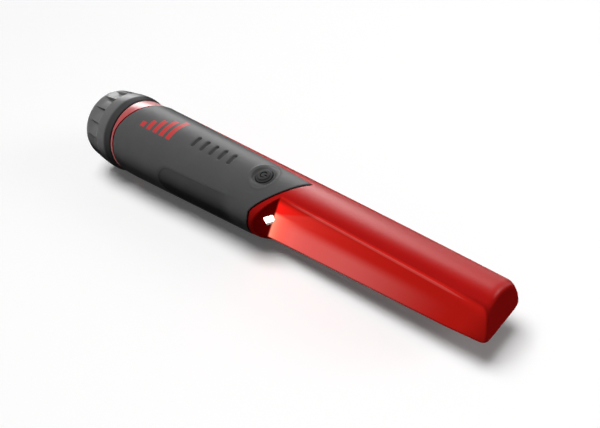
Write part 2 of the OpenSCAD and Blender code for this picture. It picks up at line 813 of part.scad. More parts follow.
// Two ends along the board and two across it for each flat chip, as shares of the board's length and half width
chip_places = [[0.23, 0.49, -0.44, 0.24], [0.08, 0.19, 0.35, 0.62], [0.57, 0.64, -0.58, -0.35]];
// Place of the upright capacitor, as the same shares
capacitor_place = [0.38, 0.54];

module board_chips() {
    color([0.08, 0.08, 0.09]) {
        for (c = chip_places)
            block([board_x0 + c[0] * board_len, c[2] * board_w, board_top],
                  [board_x0 + c[1] * board_len, c[3] * board_w, board_top + board_t * 0.7]);
        translate([board_x0 + capacitor_place[0] * board_len, capacitor_place[1] * board_w, board_top])
            cylinder(r = board_w * 0.19, h = switch_h * 0.9);
    }
}

module board_screws() {
    head_r = screw_r * 1.6;
    head_h = screw_r;
    reach = 1.9 * screw_r;
    slit = screw_r * 0.22;
    color([0.70, 0.70, 0.72])
        board_screw_places(board_z - reach) {
            cylinder(r = screw_r, h = board_t + reach + eps);
            translate([0, 0, board_t + reach])
                difference() {
                    cylinder(r = head_r, h = head_h);
                    block([-head_r, -slit, head_h / 2], [head_r, slit, 2 * head_h]);
                }
        }
}

module switch_body() {
    half = switch_w / 2;
    color([0.15, 0.15, 0.16])
        difference() {
            translate([button_x, 0, 0])
                block([-half, -half, board_top], [half, half, switch_top]);
            translate([button_x, 0, switch_top - plunger_seat - button_travel - end_gap])
                cylinder(r = plunger_r + run_gap, h = switch_h);
        }
}

module switch_plunger() {
    color([0.85, 0.82, 0.75])
        translate([button_x, 0, switch_top - plunger_seat])
            cylinder(r = plunger_r, h = plunger_h + plunger_seat);
}

// Round push button with a retaining flange and a recessed ring-and-bar mark
module power_button() {
    top = grip_r(button_x) + button_proud;
    step = button_r * 0.065;
    mark_r = button_r * 0.45;
    mark_w = button_r * 0.12;
    mark_h = button_r * 0.08;
    color([0.22, 0.22, 0.23])
        translate([button_x, 0, 0])
            difference() {
                rotate_extrude()
                    polygon([[0, flange_z], [seal_r, flange_z], [seal_r, flange_top], [button_r, flange_top],
                             [button_r, top - 3.5 * step], [button_r - step, top - 2.4 * step],
                             [button_r - 2.8 * step, top - 2 * step], [button_r - 3.6 * step, top - step / 2],
                             [button_r - 4.4 * step, top], [0, top]]);
                translate([0, 0, top - mark_h])
                    difference() {
                        cylinder(r = mark_r, h = 1);
                        translate([0, 0, -1])
                            cylinder(r = mark_r - mark_w, h = 3);
                        block([0, -mark_w, -1], [button_r, mark_w, 2]);
                    }
                block([mark_r * 0.35, -mark_w / 2, top - mark_h], [mark_r * 1.25, mark_w / 2, top + 1]);
            }
}

module button_seal() {
    color([0.07, 0.07, 0.07])
        translate([button_x, 0, seal_z0])
            difference() {
                cylinder(r = seal_r, h = seal_w);
                translate([0, 0, -1])
                    cylinder(r = button_r + seat_gap, h = seal_w + 2);
            }
}

module buzzer() {
    color([0.10, 0.10, 0.11])
        translate([motor_x0 + buzzer_r, buzzer_r + seat_gap - rail_y0, board_z - buzzer_h])
            difference() {
                cylinder(r = buzzer_r, h = buzzer_h);
                translate([0, 0, -1])
                    cylinder(r = buzzer_r * 0.2, h = buzzer_h * 0.4);
            }
}

module motor_body() {
    front = motor_x0 + motor_len;
    color([0.72, 0.73, 0.75])
        difference() {
            bar(motor_r, motor_x0, front, motor_y, motor_z);
            bar(shaft_r + shaft_gap, front - motor_len / 2 - run_gap, front + 1, motor_y, motor_z);
        }
}

// Motor shaft with its half-round weight
module motor_weight() {
    x0 = motor_x0 + motor_len;
    color([0.60, 0.58, 0.52])
        union() {
            bar(shaft_r, x0 - motor_len / 2, x0 + weight_len + run_gap, motor_y, motor_z);
            intersection() {
                bar(weight_r, x0 + run_gap, x0 + run_gap + weight_len, motor_y, motor_z);
                block([0, -handle_r, -handle_r], [big, handle_r, motor_z + shaft_r]);
            }
        }
}

module led_window() {
    color([0.95, 0.97, 1.0])
        at_lamp() {
            block([-window_w / 2, -window_proud, -window_h / 2], [window_w / 2, wall + eps, window_h / 2]);
            block([-window_w / 2 - window_rim, wall, -window_h / 2 - window_rim],
                  [window_w / 2 + window_rim, wall + window_rim, window_h / 2 + window_rim]);
        }
}

// Distance of the light chip behind the scoop's back wall
emitter_y = wall + window_rim + seat_gap;

module led_emitter() {
    color([1.0, 0.95, 0.75])
        at_lamp()
            block([-emitter_w / 2, emitter_y, -emitter_w / 2],
                  [emitter_w / 2, emitter_y + emitter_t, emitter_w / 2]);
}

module led_board() {
    y0 = emitter_y + emitter_t;
    y1 = y0 + board_t * 0.6;
    half = window_w * 0.75;
    top = (board_z - lamp_z - end_gap - y1 * sin(scoop_tilt)) / cos(scoop_tilt);
    color([0.06, 0.30, 0.15])
        at_lamp()
            block([-half, y0, -half], [half, y1, top]);
}

module coil_bobbin() {
    core_r = ferrite_r + seat_gap;
    color([0.85, 0.85, 0.82])
        difference() {
            union() {
                bar(core_r + bobbin_wall, coil_x0 - 2 * bulkhead_t, coil_x1, coil_y, coil_z);
                for (x = flange_xs)
                    bar(coil_r - run_gap, x, x + bobbin_flange, coil_y, coil_z);
            }
            bar(core_r, coil_x0 - 3 * bulkhead_t, coil_x1 + 1, coil_y, coil_z);
        }
}

module ferrite_rod() {
    color([0.18, 0.18, 0.19])
        bar(ferrite_r, coil_x0 - 1.5 * bulkhead_t, coil_x1, coil_y, coil_z);
}

// A winding between two of the bobbin's flanges
module winding(first) {
    core_r = ferrite_r + seat_gap + bobbin_wall + bond_gap;
    x0 = flange_xs[first] + bobbin_flange + seat_gap;
    x1 = flange_xs[first + 1] - seat_gap;
    difference() {
        bar(core_r + winding_h, x0, x1, coil_y, coil_z);
        bar(core_r, x0 - 1, x1 + 1, coil_y, coil_z);
    }
}

module drive_winding() {
    color([0.72, 0.38, 0.16])
        winding(0);
}

module sense_winding() {
    color([0.76, 0.42, 0.18])
        winding(1);
}

module coil_shield() {
    color([0.40, 0.40, 0.42])
        difference() {
            bar(coil_r + shield_t, coil_x0, coil_x1, coil_y, coil_z);
            bar(coil_r, coil_x0 - 1, coil_x1 + 1, coil_y, coil_z);
        }
}

module coil_leads() {
    pitch = 2.5 * lead_r;
    color([0.75, 0.15, 0.12])
        for (i = [0:3])
            bar(lead_r, board_x1 - board_end / 2, coil_x0 - eps, coil_y + (i - 1.5) * pitch,
                board_top + lead_r + eps);
}

module tip_pad() {
    color([0.28, 0.28, 0.30])
        difference() {
            bar(coil_r + shield_t, coil_x1 + seat_gap, cavity_x1 - seat_gap, coil_y, coil_z);
            bar(ferrite_r, coil_x1, cavity_x1, coil_y, coil_z);
        }
}

placed() probe_body();
placed() grip_sleeve();
placed() collar_ring();
placed() battery_cap();
placed() cap_seal();
placed() cap_pad();
placed() collar_gasket();
placed() battery_holder();
placed() cell_left();
placed() cell_right();
placed() holder_springs();
placed() holder_contacts();
placed() contact_pins();
placed() chassis();
placed() main_board();
placed() board_chips();
placed() board_screws();
placed() switch_body();
placed() switch_plunger();
placed() power_button();
placed() button_seal();
placed() buzzer();
placed() motor_body();
placed() motor_weight();
placed() led_window();
placed() led_emitter();
placed() led_board();
placed() coil_bobbin();
placed() ferrite_rod();
placed() drive_winding();
placed() sense_winding();
placed() coil_shield();
placed() coil_leads();
placed() tip_pad();
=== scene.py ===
"""Looks of a pinpointer probe: shells, finishes, floor, light and camera around its CAD frame.

Sizes are in mm, with stations counted from the back of the cap and heights from the long axis. Datum turns them into
the metres of the shared frame.
"""

import json
import logging
import math
from contextlib import contextmanager
from dataclasses import dataclass
from enum import Enum
from typing import Any, Callable, ClassVar, Iterator, Mapping, Sequence

import bpy
import numpy as np
from mathutils import Euler, Matrix, Vector


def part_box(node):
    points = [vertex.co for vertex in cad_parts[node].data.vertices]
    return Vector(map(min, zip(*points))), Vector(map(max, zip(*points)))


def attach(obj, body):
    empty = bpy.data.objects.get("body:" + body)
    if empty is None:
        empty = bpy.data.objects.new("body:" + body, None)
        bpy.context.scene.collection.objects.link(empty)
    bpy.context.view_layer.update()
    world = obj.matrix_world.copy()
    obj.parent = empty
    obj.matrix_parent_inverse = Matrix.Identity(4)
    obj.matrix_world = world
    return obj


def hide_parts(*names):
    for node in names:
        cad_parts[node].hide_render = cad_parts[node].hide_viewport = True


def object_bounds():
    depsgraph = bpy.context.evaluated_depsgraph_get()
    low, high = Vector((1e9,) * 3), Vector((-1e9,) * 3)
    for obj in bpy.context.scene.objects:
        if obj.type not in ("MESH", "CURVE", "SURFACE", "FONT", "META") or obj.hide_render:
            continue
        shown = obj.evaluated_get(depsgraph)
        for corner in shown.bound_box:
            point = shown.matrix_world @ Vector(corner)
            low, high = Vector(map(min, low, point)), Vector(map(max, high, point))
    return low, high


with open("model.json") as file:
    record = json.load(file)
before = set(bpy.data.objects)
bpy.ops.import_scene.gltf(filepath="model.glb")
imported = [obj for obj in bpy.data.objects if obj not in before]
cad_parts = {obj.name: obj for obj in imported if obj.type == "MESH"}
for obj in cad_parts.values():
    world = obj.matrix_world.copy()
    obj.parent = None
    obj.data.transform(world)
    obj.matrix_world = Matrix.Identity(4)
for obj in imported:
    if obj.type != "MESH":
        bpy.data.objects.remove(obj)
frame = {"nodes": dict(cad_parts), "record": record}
CAD_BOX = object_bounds()
log = logging.getLogger("probe")

Colour = tuple[float, float, float]
Place = tuple[float, float, float]
Span = tuple[float, float]
Array = np.ndarray

# Sizes that several shapes, or a shape and a finish, share.
LAMP_SPOT = (127.3, -10.4, 1.6)
HANDLE_R = 19.0
GRIP_TAPER = 0.0276
BODY_TAPER = 0.0304
BAND_X = 36.2
FLAT_X = 142.0
FLAT_D = 8.87
FLAT_LEAN = math.radians(12.8)
FLAT_FLARE = math.tan(math.radians(0.45))
UNDER_D = 6.2
UNDER_RISE = math.tan(math.radians(2.2))
# Tint of the painted shade on the scoop's wall and in the grip's sunk places.
SHADE_TINT = 0.1
SCOOP_TURN = Euler((math.radians(12.0), 0.0, math.radians(51.0)))
WALL_OUT = SCOOP_TURN.to_matrix() @ Vector((0.0, -1.0, 0.0))


class Datum:
    """Place of the long axis in the shared frame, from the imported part's box and its ring."""

    MIDDLE = (CAD_BOX[1].x - CAD_BOX[0].x) * 500
    LIFT = sum(corner.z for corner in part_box("collar_ring")) * 500

    @classmethod
    def ends(cls, node: str) -> tuple[float, float]:
        """Back and front station of a CAD node."""
        low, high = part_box(node)
        return low.x * 1000 + cls.MIDDLE, high.x * 1000 + cls.MIDDLE

    @classmethod
    def middle(cls, node: str) -> float:
        """Station half way along a CAD node."""
        return sum(cls.ends(node)) / 2

    @classmethod
    def point(cls, x: float, y: float, z: float) -> Vector:
        """One place in metres in the shared frame, from a station and two distances in mm."""
        return Vector(((x - cls.MIDDLE) / 1000, y / 1000, (z + cls.LIFT) / 1000))

    @classmethod
    def points(cls, x: Array, y: Array, z: Array) -> Array:
        """Many places in metres in the shared frame, one row each."""
        return np.stack([(x - cls.MIDDLE) / 1000, y / 1000, (z + cls.LIFT) / 1000], axis=-1)


BUTTON_X = Datum.middle("power_button")


class Body(Enum):
    """Bodies of the frame that the new pieces ride on."""

    HOUSING = "housing"
    CAP = "screw_cap"
    BUTTON = "push_button"


class Axis(Enum):
    """Directions that a piece is turned about."""

    LONG = "x"
    UP = "z"


class Shows(Enum):
    """What a light panel shows itself in."""

    SHADING = "shading"
    MIRRORED = "mirrored"
    BOTH = "both"


def soft_step(low: float, high: float, value: Array) -> Array:
    """A smooth rise from 0 at low to 1 at high.

    Args:
        low: Value where the rise starts.
        high: Value where it ends, which may lie below low for a fall.
        value: Where to measure it.

    Returns:
        The rise at each value.
    """
    t = np.clip((value - low) / (high - low), 0.0, 1.0)
    return t * t * (3 - 2 * t)


def soft_min(a: Array, b: Array, blend: float) -> Array:
    """The smaller of two distances, with a rounded corner where they cross.

    Args:
        a: First distance.
        b: Second distance.
        blend: Difference in mm over which the corner is rounded.

    Returns:
        The blended distance.
    """
    near = np.maximum(blend - np.abs(a - b), 0.0) / blend
    return np.minimum(a, b) - near * near * blend / 4


def soft_max(a: Array, b: Array, blend: float) -> Array:
    """The larger of two distances, with a rounded corner where they cross."""
    return -soft_min(-a, -b, blend)


class Bench:
    """Modelling steps that the sub-assemblies share, each through Blender's own operators."""

    @staticmethod
    def clear() -> None:
        """Leaves edit mode and deselects everything."""
        if bpy.context.object and bpy.context.object.mode != "OBJECT":
            bpy.ops.object.mode_set(mode="OBJECT")
        bpy.ops.object.select_all(action="DESELECT")

    @classmethod
    def take(cls, piece: bpy.types.Object) -> bpy.types.Object:
        """Selects one piece alone and makes it active.

        Args:
            piece: The piece.

        Returns:
            The same piece.
        """
        cls.clear()
        piece.select_set(True)
        bpy.context.view_layer.objects.active = piece
        return piece

    @staticmethod
    def placed(name: str) -> bpy.types.Object:
        """Names the primitive that was just added, and moves its place into its mesh.

        Args:
            name: Name of the piece and of its mesh.

        Returns:
            The piece.
        """
        piece = bpy.context.object
        piece.name = piece.data.name = name
        bpy.ops.object.transform_apply(location=True, rotation=True, scale=True)
        return piece

    @classmethod
    @contextmanager
    def editing(cls, piece: bpy.types.Object, kind: str = "VERT") -> Iterator[None]:
        """Takes a piece into edit mode with all of it selected, and out again.

        Args:
            piece: The piece.
            kind: Blender's name of what is selected: VERT, EDGE or FACE.

        Yields:
            Nothing.
        """
        cls.take(piece)
        bpy.ops.object.mode_set(mode="EDIT")
        bpy.ops.mesh.select_mode(type=kind)
        bpy.ops.mesh.select_all(action="SELECT")
        yield
        bpy.ops.object.mode_set(mode="OBJECT")

    @classmethod
    def sheet(cls, name: str, x: Array, angle: Array, radius: Array, closed: bool) -> bpy.types.Object:
        """Wraps a grid round the long axis.

        Args:
            name: Name of the piece.
            x: Station of each grid point, rows along the axis and columns round it.
            angle: Angle of each point from the top, positive towards +Y.
            radius: Distance of each point from the axis.
            closed: Whether the last column meets the first.

        Returns:
            The wrapped piece, open at the ends of its rows.
        """
        if closed:
            x, angle, radius = (np.concatenate([a, a[:, :1]], axis=1) for a in (x, angle, radius))
        rows, cols = x.shape
        cls.clear()
        bpy.ops.mesh.primitive_grid_add(x_subdivisions=rows - 1, y_subdivisions=cols - 1, size=2)
        piece = cls.placed(name)
        co = np.empty(len(piece.data.vertices) * 3)
        piece.data.vertices.foreach_get("co", co)
        co = co.reshape(-1, 3)
        i = np.rint((co[:, 0] + 1) / 2 * (rows - 1)).astype(int)
        j = np.rint((co[:, 1] + 1) / 2 * (cols - 1)).astype(int)
        wrapped = Datum.points(x, radius * np.sin(angle), radius * np.cos(angle))[i, j]
        piece.data.vertices.foreach_set("co", wrapped.ravel())
        piece.data.update()
        cls.merge(piece)
        return piece

    @classmethod
    def merge(cls, piece: bpy.types.Object, within: float = 2e-6) -> None:
        """Merges vertices that share a place."""
        with cls.editing(piece):
            bpy.ops.mesh.remove_doubles(threshold=within)

    @classmethod
    def outwards(cls, piece: bpy.types.Object) -> None:
        """Turns all faces of a closed piece outwards."""
        with cls.editing(piece):
            bpy.ops.mesh.normals_make_consistent(inside=False)

    @classmethod
    def fill_openings(cls, piece: bpy.types.Object, inset: float) -> None:
        """Closes every open end of a piece with a face and a narrow border.

        Args:
            piece: The piece.
            inset: Width of the border in metres, which keeps the end's shading flat.
        """
        with cls.editing(piece, "EDGE"):
            bpy.ops.mesh.select_all(action="DESELECT")
            bpy.ops.mesh.select_non_manifold(extend=False, use_wire=False, use_multi_face=False,
                                             use_non_contiguous=False, use_verts=False)
            bpy.ops.mesh.edge_face_add()
            bpy.ops.mesh.select_mode(type="FACE")
            bpy.ops.mesh.inset(thickness=inset, use_individual=True)
        cls.outwards(piece)

    @classmethod
    def turned(cls, name: str, profile: Sequence[Span], sides: int, axis: Axis,
               centre: Place = (0.0, 0.0, 0.0), ring: bool = False) -> bpy.types.Object:
        """Turns a profile about an axis, from a circle that is extruded and scaled step by step.

        Args:
            name: Name of the piece.
            profile: Distance along the axis and radius of each step, in mm.
            sides: Number of sides round the piece.
            axis: Direction of the axis.
            centre: Place that the profile's distances count from, as station, distance and height in mm.
            ring: Whether the last step meets the first, as on a ring.

        Returns:
            The turned piece, closed and with its faces outwards.
        """
        along = Vector((1, 0, 0)) if axis is Axis.LONG else Vector((0, 0, 1))
        start = Datum.point(*centre)
        steps = list(profile) + ([profile[0]] if ring else [])
        cls.clear()
        bpy.ops.mesh.primitive_circle_add(vertices=sides, radius=steps[0][1] / 1000,
                                          location=start + along * (steps[0][0] / 1000),
                                          rotation=(0, math.pi / 2, 0) if axis is Axis.LONG else (0, 0, 0))
        piece = cls.placed(name)
        with cls.editing(piece):
            for before, after in zip(steps, steps[1:]):
                bpy.ops.mesh.extrude_region_move(
                    TRANSFORM_OT_translate={"value": along * ((after[0] - before[0]) / 1000)})
                grow = after[1] / before[1]
                bpy.ops.transform.resize(value=(1, grow, grow) if axis is Axis.LONG else (grow, grow, 1),
                                         center_override=start + along * (after[0] / 1000))
        cls.merge(piece)
        if ring:
            cls.outwards(piece)
        else:
            cls.fill_openings(piece, inset=1e-4)
        return piece

    @classmethod
    def modify(cls, piece: bpy.types.Object, kind: str, **settings: Any) -> None:
        """Adds a modifier with its settings and applies it.

        Args:
            piece: The piece.
            kind: Blender's name of the modifier's type.
            **settings: Values of the modifier's own settings.
        """
        cls.take(piece)
        modifier = piece.modifiers.new(kind.title(), kind)
        for key, value in settings.items():
            setattr(modifier, key, value)
        bpy.ops.object.modifier_apply(modifier=modifier.name)

    @classmethod
    def cut(cls, piece: bpy.types.Object, cutter: bpy.types.Object) -> None:
        """Cuts one piece away with another, which is used up."""
        cls.modify(piece, "BOOLEAN", operation="DIFFERENCE", solver="EXACT", object=cutter)
        bpy.data.objects.remove(cutter)

    @classmethod
    def finish(cls, piece: bpy.types.Object, degrees: float) -> bpy.types.Object:
        """Shades a piece smooth, with edges sharper than an angle left crisp.

        Args:
            piece: The piece.
            degrees: The angle.

        Returns:
            The same piece.
        """
        cls.take(piece)
        bpy.ops.object.shade_smooth_by_angle(angle=math.radians(degrees))
        cls.clear()
        return piece


def math_operator(kind: str, swapped: bool = False) -> Callable[["Wire", "Wire | float"], "Wire"]:
    """Makes one of the operators of a Wire.

    Args:
        kind: Blender's name of the Math node's operation.
        swapped: Whether the socket comes second, as in a reflected form.

    Returns:
        The operator's method.
    """
    def method(self: "Wire", other: "Wire | float") -> "Wire":
        """Adds the operator's Math node."""
        return self.recipe.math(kind, *((other, self) if swapped else (self, other)))
    return method


class Wire:
    """An output socket whose Python operators add Math nodes to its material."""

    def __init__(self, recipe: "Recipe", socket: bpy.types.NodeSocket) -> None:
        """Keeps the socket and the recipe that it belongs to."""
        self.recipe = recipe
        self.socket = socket

    __add__ = __radd__ = math_operator("ADD")
    __mul__ = __rmul__ = math_operator("MULTIPLY")
    __sub__, __rsub__ = math_operator("SUBTRACT"), math_operator("SUBTRACT", swapped=True)
    __truediv__, __rtruediv__ = math_operator("DIVIDE"), math_operator("DIVIDE", swapped=True)
    __pow__, __rpow__ = math_operator("POWER"), math_operator("POWER", swapped=True)
    __lt__, __gt__ = math_operator("LESS_THAN"), math_operator("GREATER_THAN")

    def __abs__(self) -> "Wire":
        """Size without its sign."""
        return self.recipe.math("ABSOLUTE", self)

    def floor(self) -> "Wire":
        """Largest whole number below."""
        return self.recipe.math("FLOOR", self)

    def rise(self, low: float, high: float) -> "Wire":
        """A smooth rise from 0 at low to 1 at high."""
        return self.recipe.add("ShaderNodeMapRange", {"interpolation_type": "SMOOTHSTEP"},
                               {"Value": self, "From Min": low, "From Max": high})


class Recipe:
    """Builds the nodes of one material, or of a world."""

    def __init__(self, name: str, kept_in: Any = bpy.data.materials) -> None:
        """Starts an empty material or world.

        Args:
            name: Its name.
            kept_in: Blender's materials or worlds.
        """
        self.material = kept_in.new(name)
        self.material.use_nodes = True
        self.tree = self.material.node_tree
        self.tree.nodes.clear()

    def add(self, kind: str, settings: Mapping[str, Any] | None = None,
            inputs: Mapping[str | int, Any] | None = None, output: str | int = 0) -> Wire:
        """Adds one node.

        Args:
            kind: Blender's name of the node's type.
            settings: The node's own settings, which are set first.
            inputs: Values or wires for its sockets, by name or number.
            output: The output that is wanted.

        Returns:
            That output.
        """
        node = self.tree.nodes.new(kind)
        for key, value in (settings or {}).items():
            setattr(node, key, value)
        for key, value in (inputs or {}).items():
            if isinstance(value, Wire):
                self.tree.links.new(value.socket, node.inputs[key])
            else:
                node.inputs[key].default_value = value
        return Wire(self, node.outputs[output])

    def math(self, operation: str, *values: "Wire | float") -> Wire:
        """Adds a Math node."""
        return self.add("ShaderNodeMath", {"operation": operation}, dict(enumerate(values)))

    def seen(self) -> Wire:
        """Mask of the rays that the camera sees, directly, in a gloss or through glass.

        Returns:
            1 for such a ray, otherwise 0.
        """
        rays = self.add("ShaderNodeLightPath").socket.node.outputs
        kinds = [Wire(self, rays[f"Is {kind} Ray"]) for kind in ("Camera", "Glossy", "Transmission")]
        return self.math("MAXIMUM", self.math("MAXIMUM", kinds[0], kinds[1]), kinds[2])

    def place(self) -> Wire:
        """Place on the piece, in metres."""
        return self.add("ShaderNodeTexCoord", output="Object")

    def axes(self) -> tuple[Wire, Wire, Wire]:
        """The three parts of the place on the piece."""
        parts = self.add("ShaderNodeSeparateXYZ", inputs={0: self.place()})
        return tuple(Wire(self, out) for out in parts.socket.node.outputs)

    def upper_side(self, start: float = -2.0, fade: float = 0.4, end: Span = (0.45, 0.85)) -> Wire:
        """Mask of the upper side, which ends again towards the plain side.

        Args:
            start: Share of the radius, from -1 on the lamp side to 1 on the plain side, at which the mask starts.
            fade: Share of the radius over which it rises.
            end: Shares between which it falls again.

        Returns:
            1 on the upper side and 0 elsewhere.
        """
        _, y, z = self.axes()
        height = z - Datum.LIFT / 1000
        radius = (y * y + height * height) ** 0.5
        side = y / radius
        return (height / radius).rise(0.0, 0.6) * side.rise(start, start + fade) * (1 - side.rise(*end))

    def stretched(self, scale: Place) -> Wire:
        """Place on the piece, scaled by a different amount along each axis."""
        return self.add("ShaderNodeMapping", inputs={"Vector": self.place(), "Scale": scale})

    def noise(self, size: float, detail: float = 3.0, roughness: float = 0.55, vector: Wire | None = None) -> Wire:
        """Cloudy noise.

        Args:
            size: Size of its features in mm.
            detail: Number of finer layers.
            roughness: Strength of the finer layers.
            vector: Place that it reads, or the piece's own place.

        Returns:
            A value about 0.5.
        """
        return self.add("ShaderNodeTexNoise", inputs={"Vector": vector or self.place(), "Scale": 1000 / size,
                                                      "Detail": detail, "Roughness": roughness})

    def cells(self, size: float) -> Wire:
        """Distance to the nearest of many scattered points, for pebbled and foamed surfaces."""
        return self.add("ShaderNodeTexVoronoi", inputs={"Vector": self.place(), "Scale": 1000 / size})

    def mix(self, factor: Wire | float, a: Wire | Colour, b: Wire | Colour) -> Wire:
        """Mixes two colours."""
        a, b = ((*c, 1.0) if isinstance(c, tuple) else c for c in (a, b))
        return self.add("ShaderNodeMix", {"data_type": "RGBA"}, {0: factor, 6: a, 7: b}, 2)

    def light(self, amount: Wire, colour: Colour, under: Wire | Colour = (0.0, 0.0, 0.0)) -> Wire:
        """Adds an amount of a colour to another."""
        return self.add("ShaderNodeVectorMath", {"operation": "MULTIPLY_ADD"}, {0: colour, 1: amount, 2: under})

    def bump(self, height: Wire, depth: float) -> Wire:
        """Normal with a relief from 0 to 1 of a depth in mm."""
        return self.add("ShaderNodeBump", inputs={"Height": height, "Distance": depth / 1000, "Strength": 1.0})

    def done(self, **inputs: Any) -> bpy.types.Material:
        """Adds the main shader and the output.

        Args:
            **inputs: Values or wires of the shader's sockets, with _ for a space.

        Returns:
            The finished material.
        """
        sockets = {key.replace("_", " "): value for key, value in inputs.items()}
        shader = self.add("ShaderNodeBsdfPrincipled", inputs=sockets)
        self.end(shader)
        return self.material

    def end(self, shader: Wire) -> None:
        """Adds the output node.

        Args:
            shader: The shader that it shows.
        """
        world = isinstance(self.material, bpy.types.World)
        node = self.tree.nodes.new("ShaderNodeOutputWorld" if world else "ShaderNodeOutputMaterial")
        self.tree.links.new(shader.socket, node.inputs["Surface"])


def tinted(colour: Colour, by: float) -> Colour:
    """A colour made lighter or darker by a factor."""
    return tuple(min(1.0, c * by) for c in colour)


class Finish:
    """A surface that is made into a material."""

    def surface(self, recipe: Recipe) -> dict[str, Any]:
        """Adds the surface's nodes.

        Args:
            recipe: The material.

        Returns:
            The main shader's inputs, with _ for a space.
        """
        raise NotImplementedError

    def make(self, name: str) -> bpy.types.Material:
        """Builds the material under a name."""
        recipe = Recipe(name)
        return recipe.done(**self.surface(recipe))


@dataclass(frozen=True)
class Moulding(Finish):
    """Moulded plastic with a fine grain, faint handling marks and, where it has a coat, a gloss on its upper side."""

    colour: Colour
    roughness: float = 0.5
    grain: float = 0.35
    grain_depth: float = 0.02
    mottle: float = 0.12
    mottle_size: float = 9.0
    gloss: float = 0.5
    marks: float = 0.05
    mark_size: float = 1.2
    mark_stretch: Place = (0.12, 1.0, 1.0)
    mark_shows: Span = (0.56, 0.78)
    mark_colour: Colour = (0.5, 0.5, 0.5)
    unevenness: float = 0.12
    coat: float = 0.0
    coat_roughness: float = 0.4
    coat_from: float = -2.0

    def surface(self, recipe: Recipe) -> dict[str, Any]:
        """Adds the nodes that every moulding has.

        Args:
            recipe: The material.

        Returns:
            The main shader's inputs.
        """
        cloud = recipe.noise(self.mottle_size)
        along = recipe.stretched(self.mark_stretch)
        streak = recipe.noise(self.mark_size, detail=2.0, vector=along).rise(*self.mark_shows)
        base = recipe.mix(cloud, tinted(self.colour, 1 - self.mottle), tinted(self.colour, 1 + self.mottle))
        return {"Base_Color": recipe.mix(streak * self.marks, base, self.mark_colour),
                "Roughness": self.roughness + (cloud - 0.5) * self.unevenness + streak * self.marks,
                "Specular_IOR_Level": self.gloss,
                "Normal": recipe.bump(recipe.noise(self.grain), self.grain_depth),
                "Coat_Weight": recipe.upper_side(self.coat_from) * self.coat if self.coat else 0.0,
                "Coat_Roughness": self.coat_roughness}


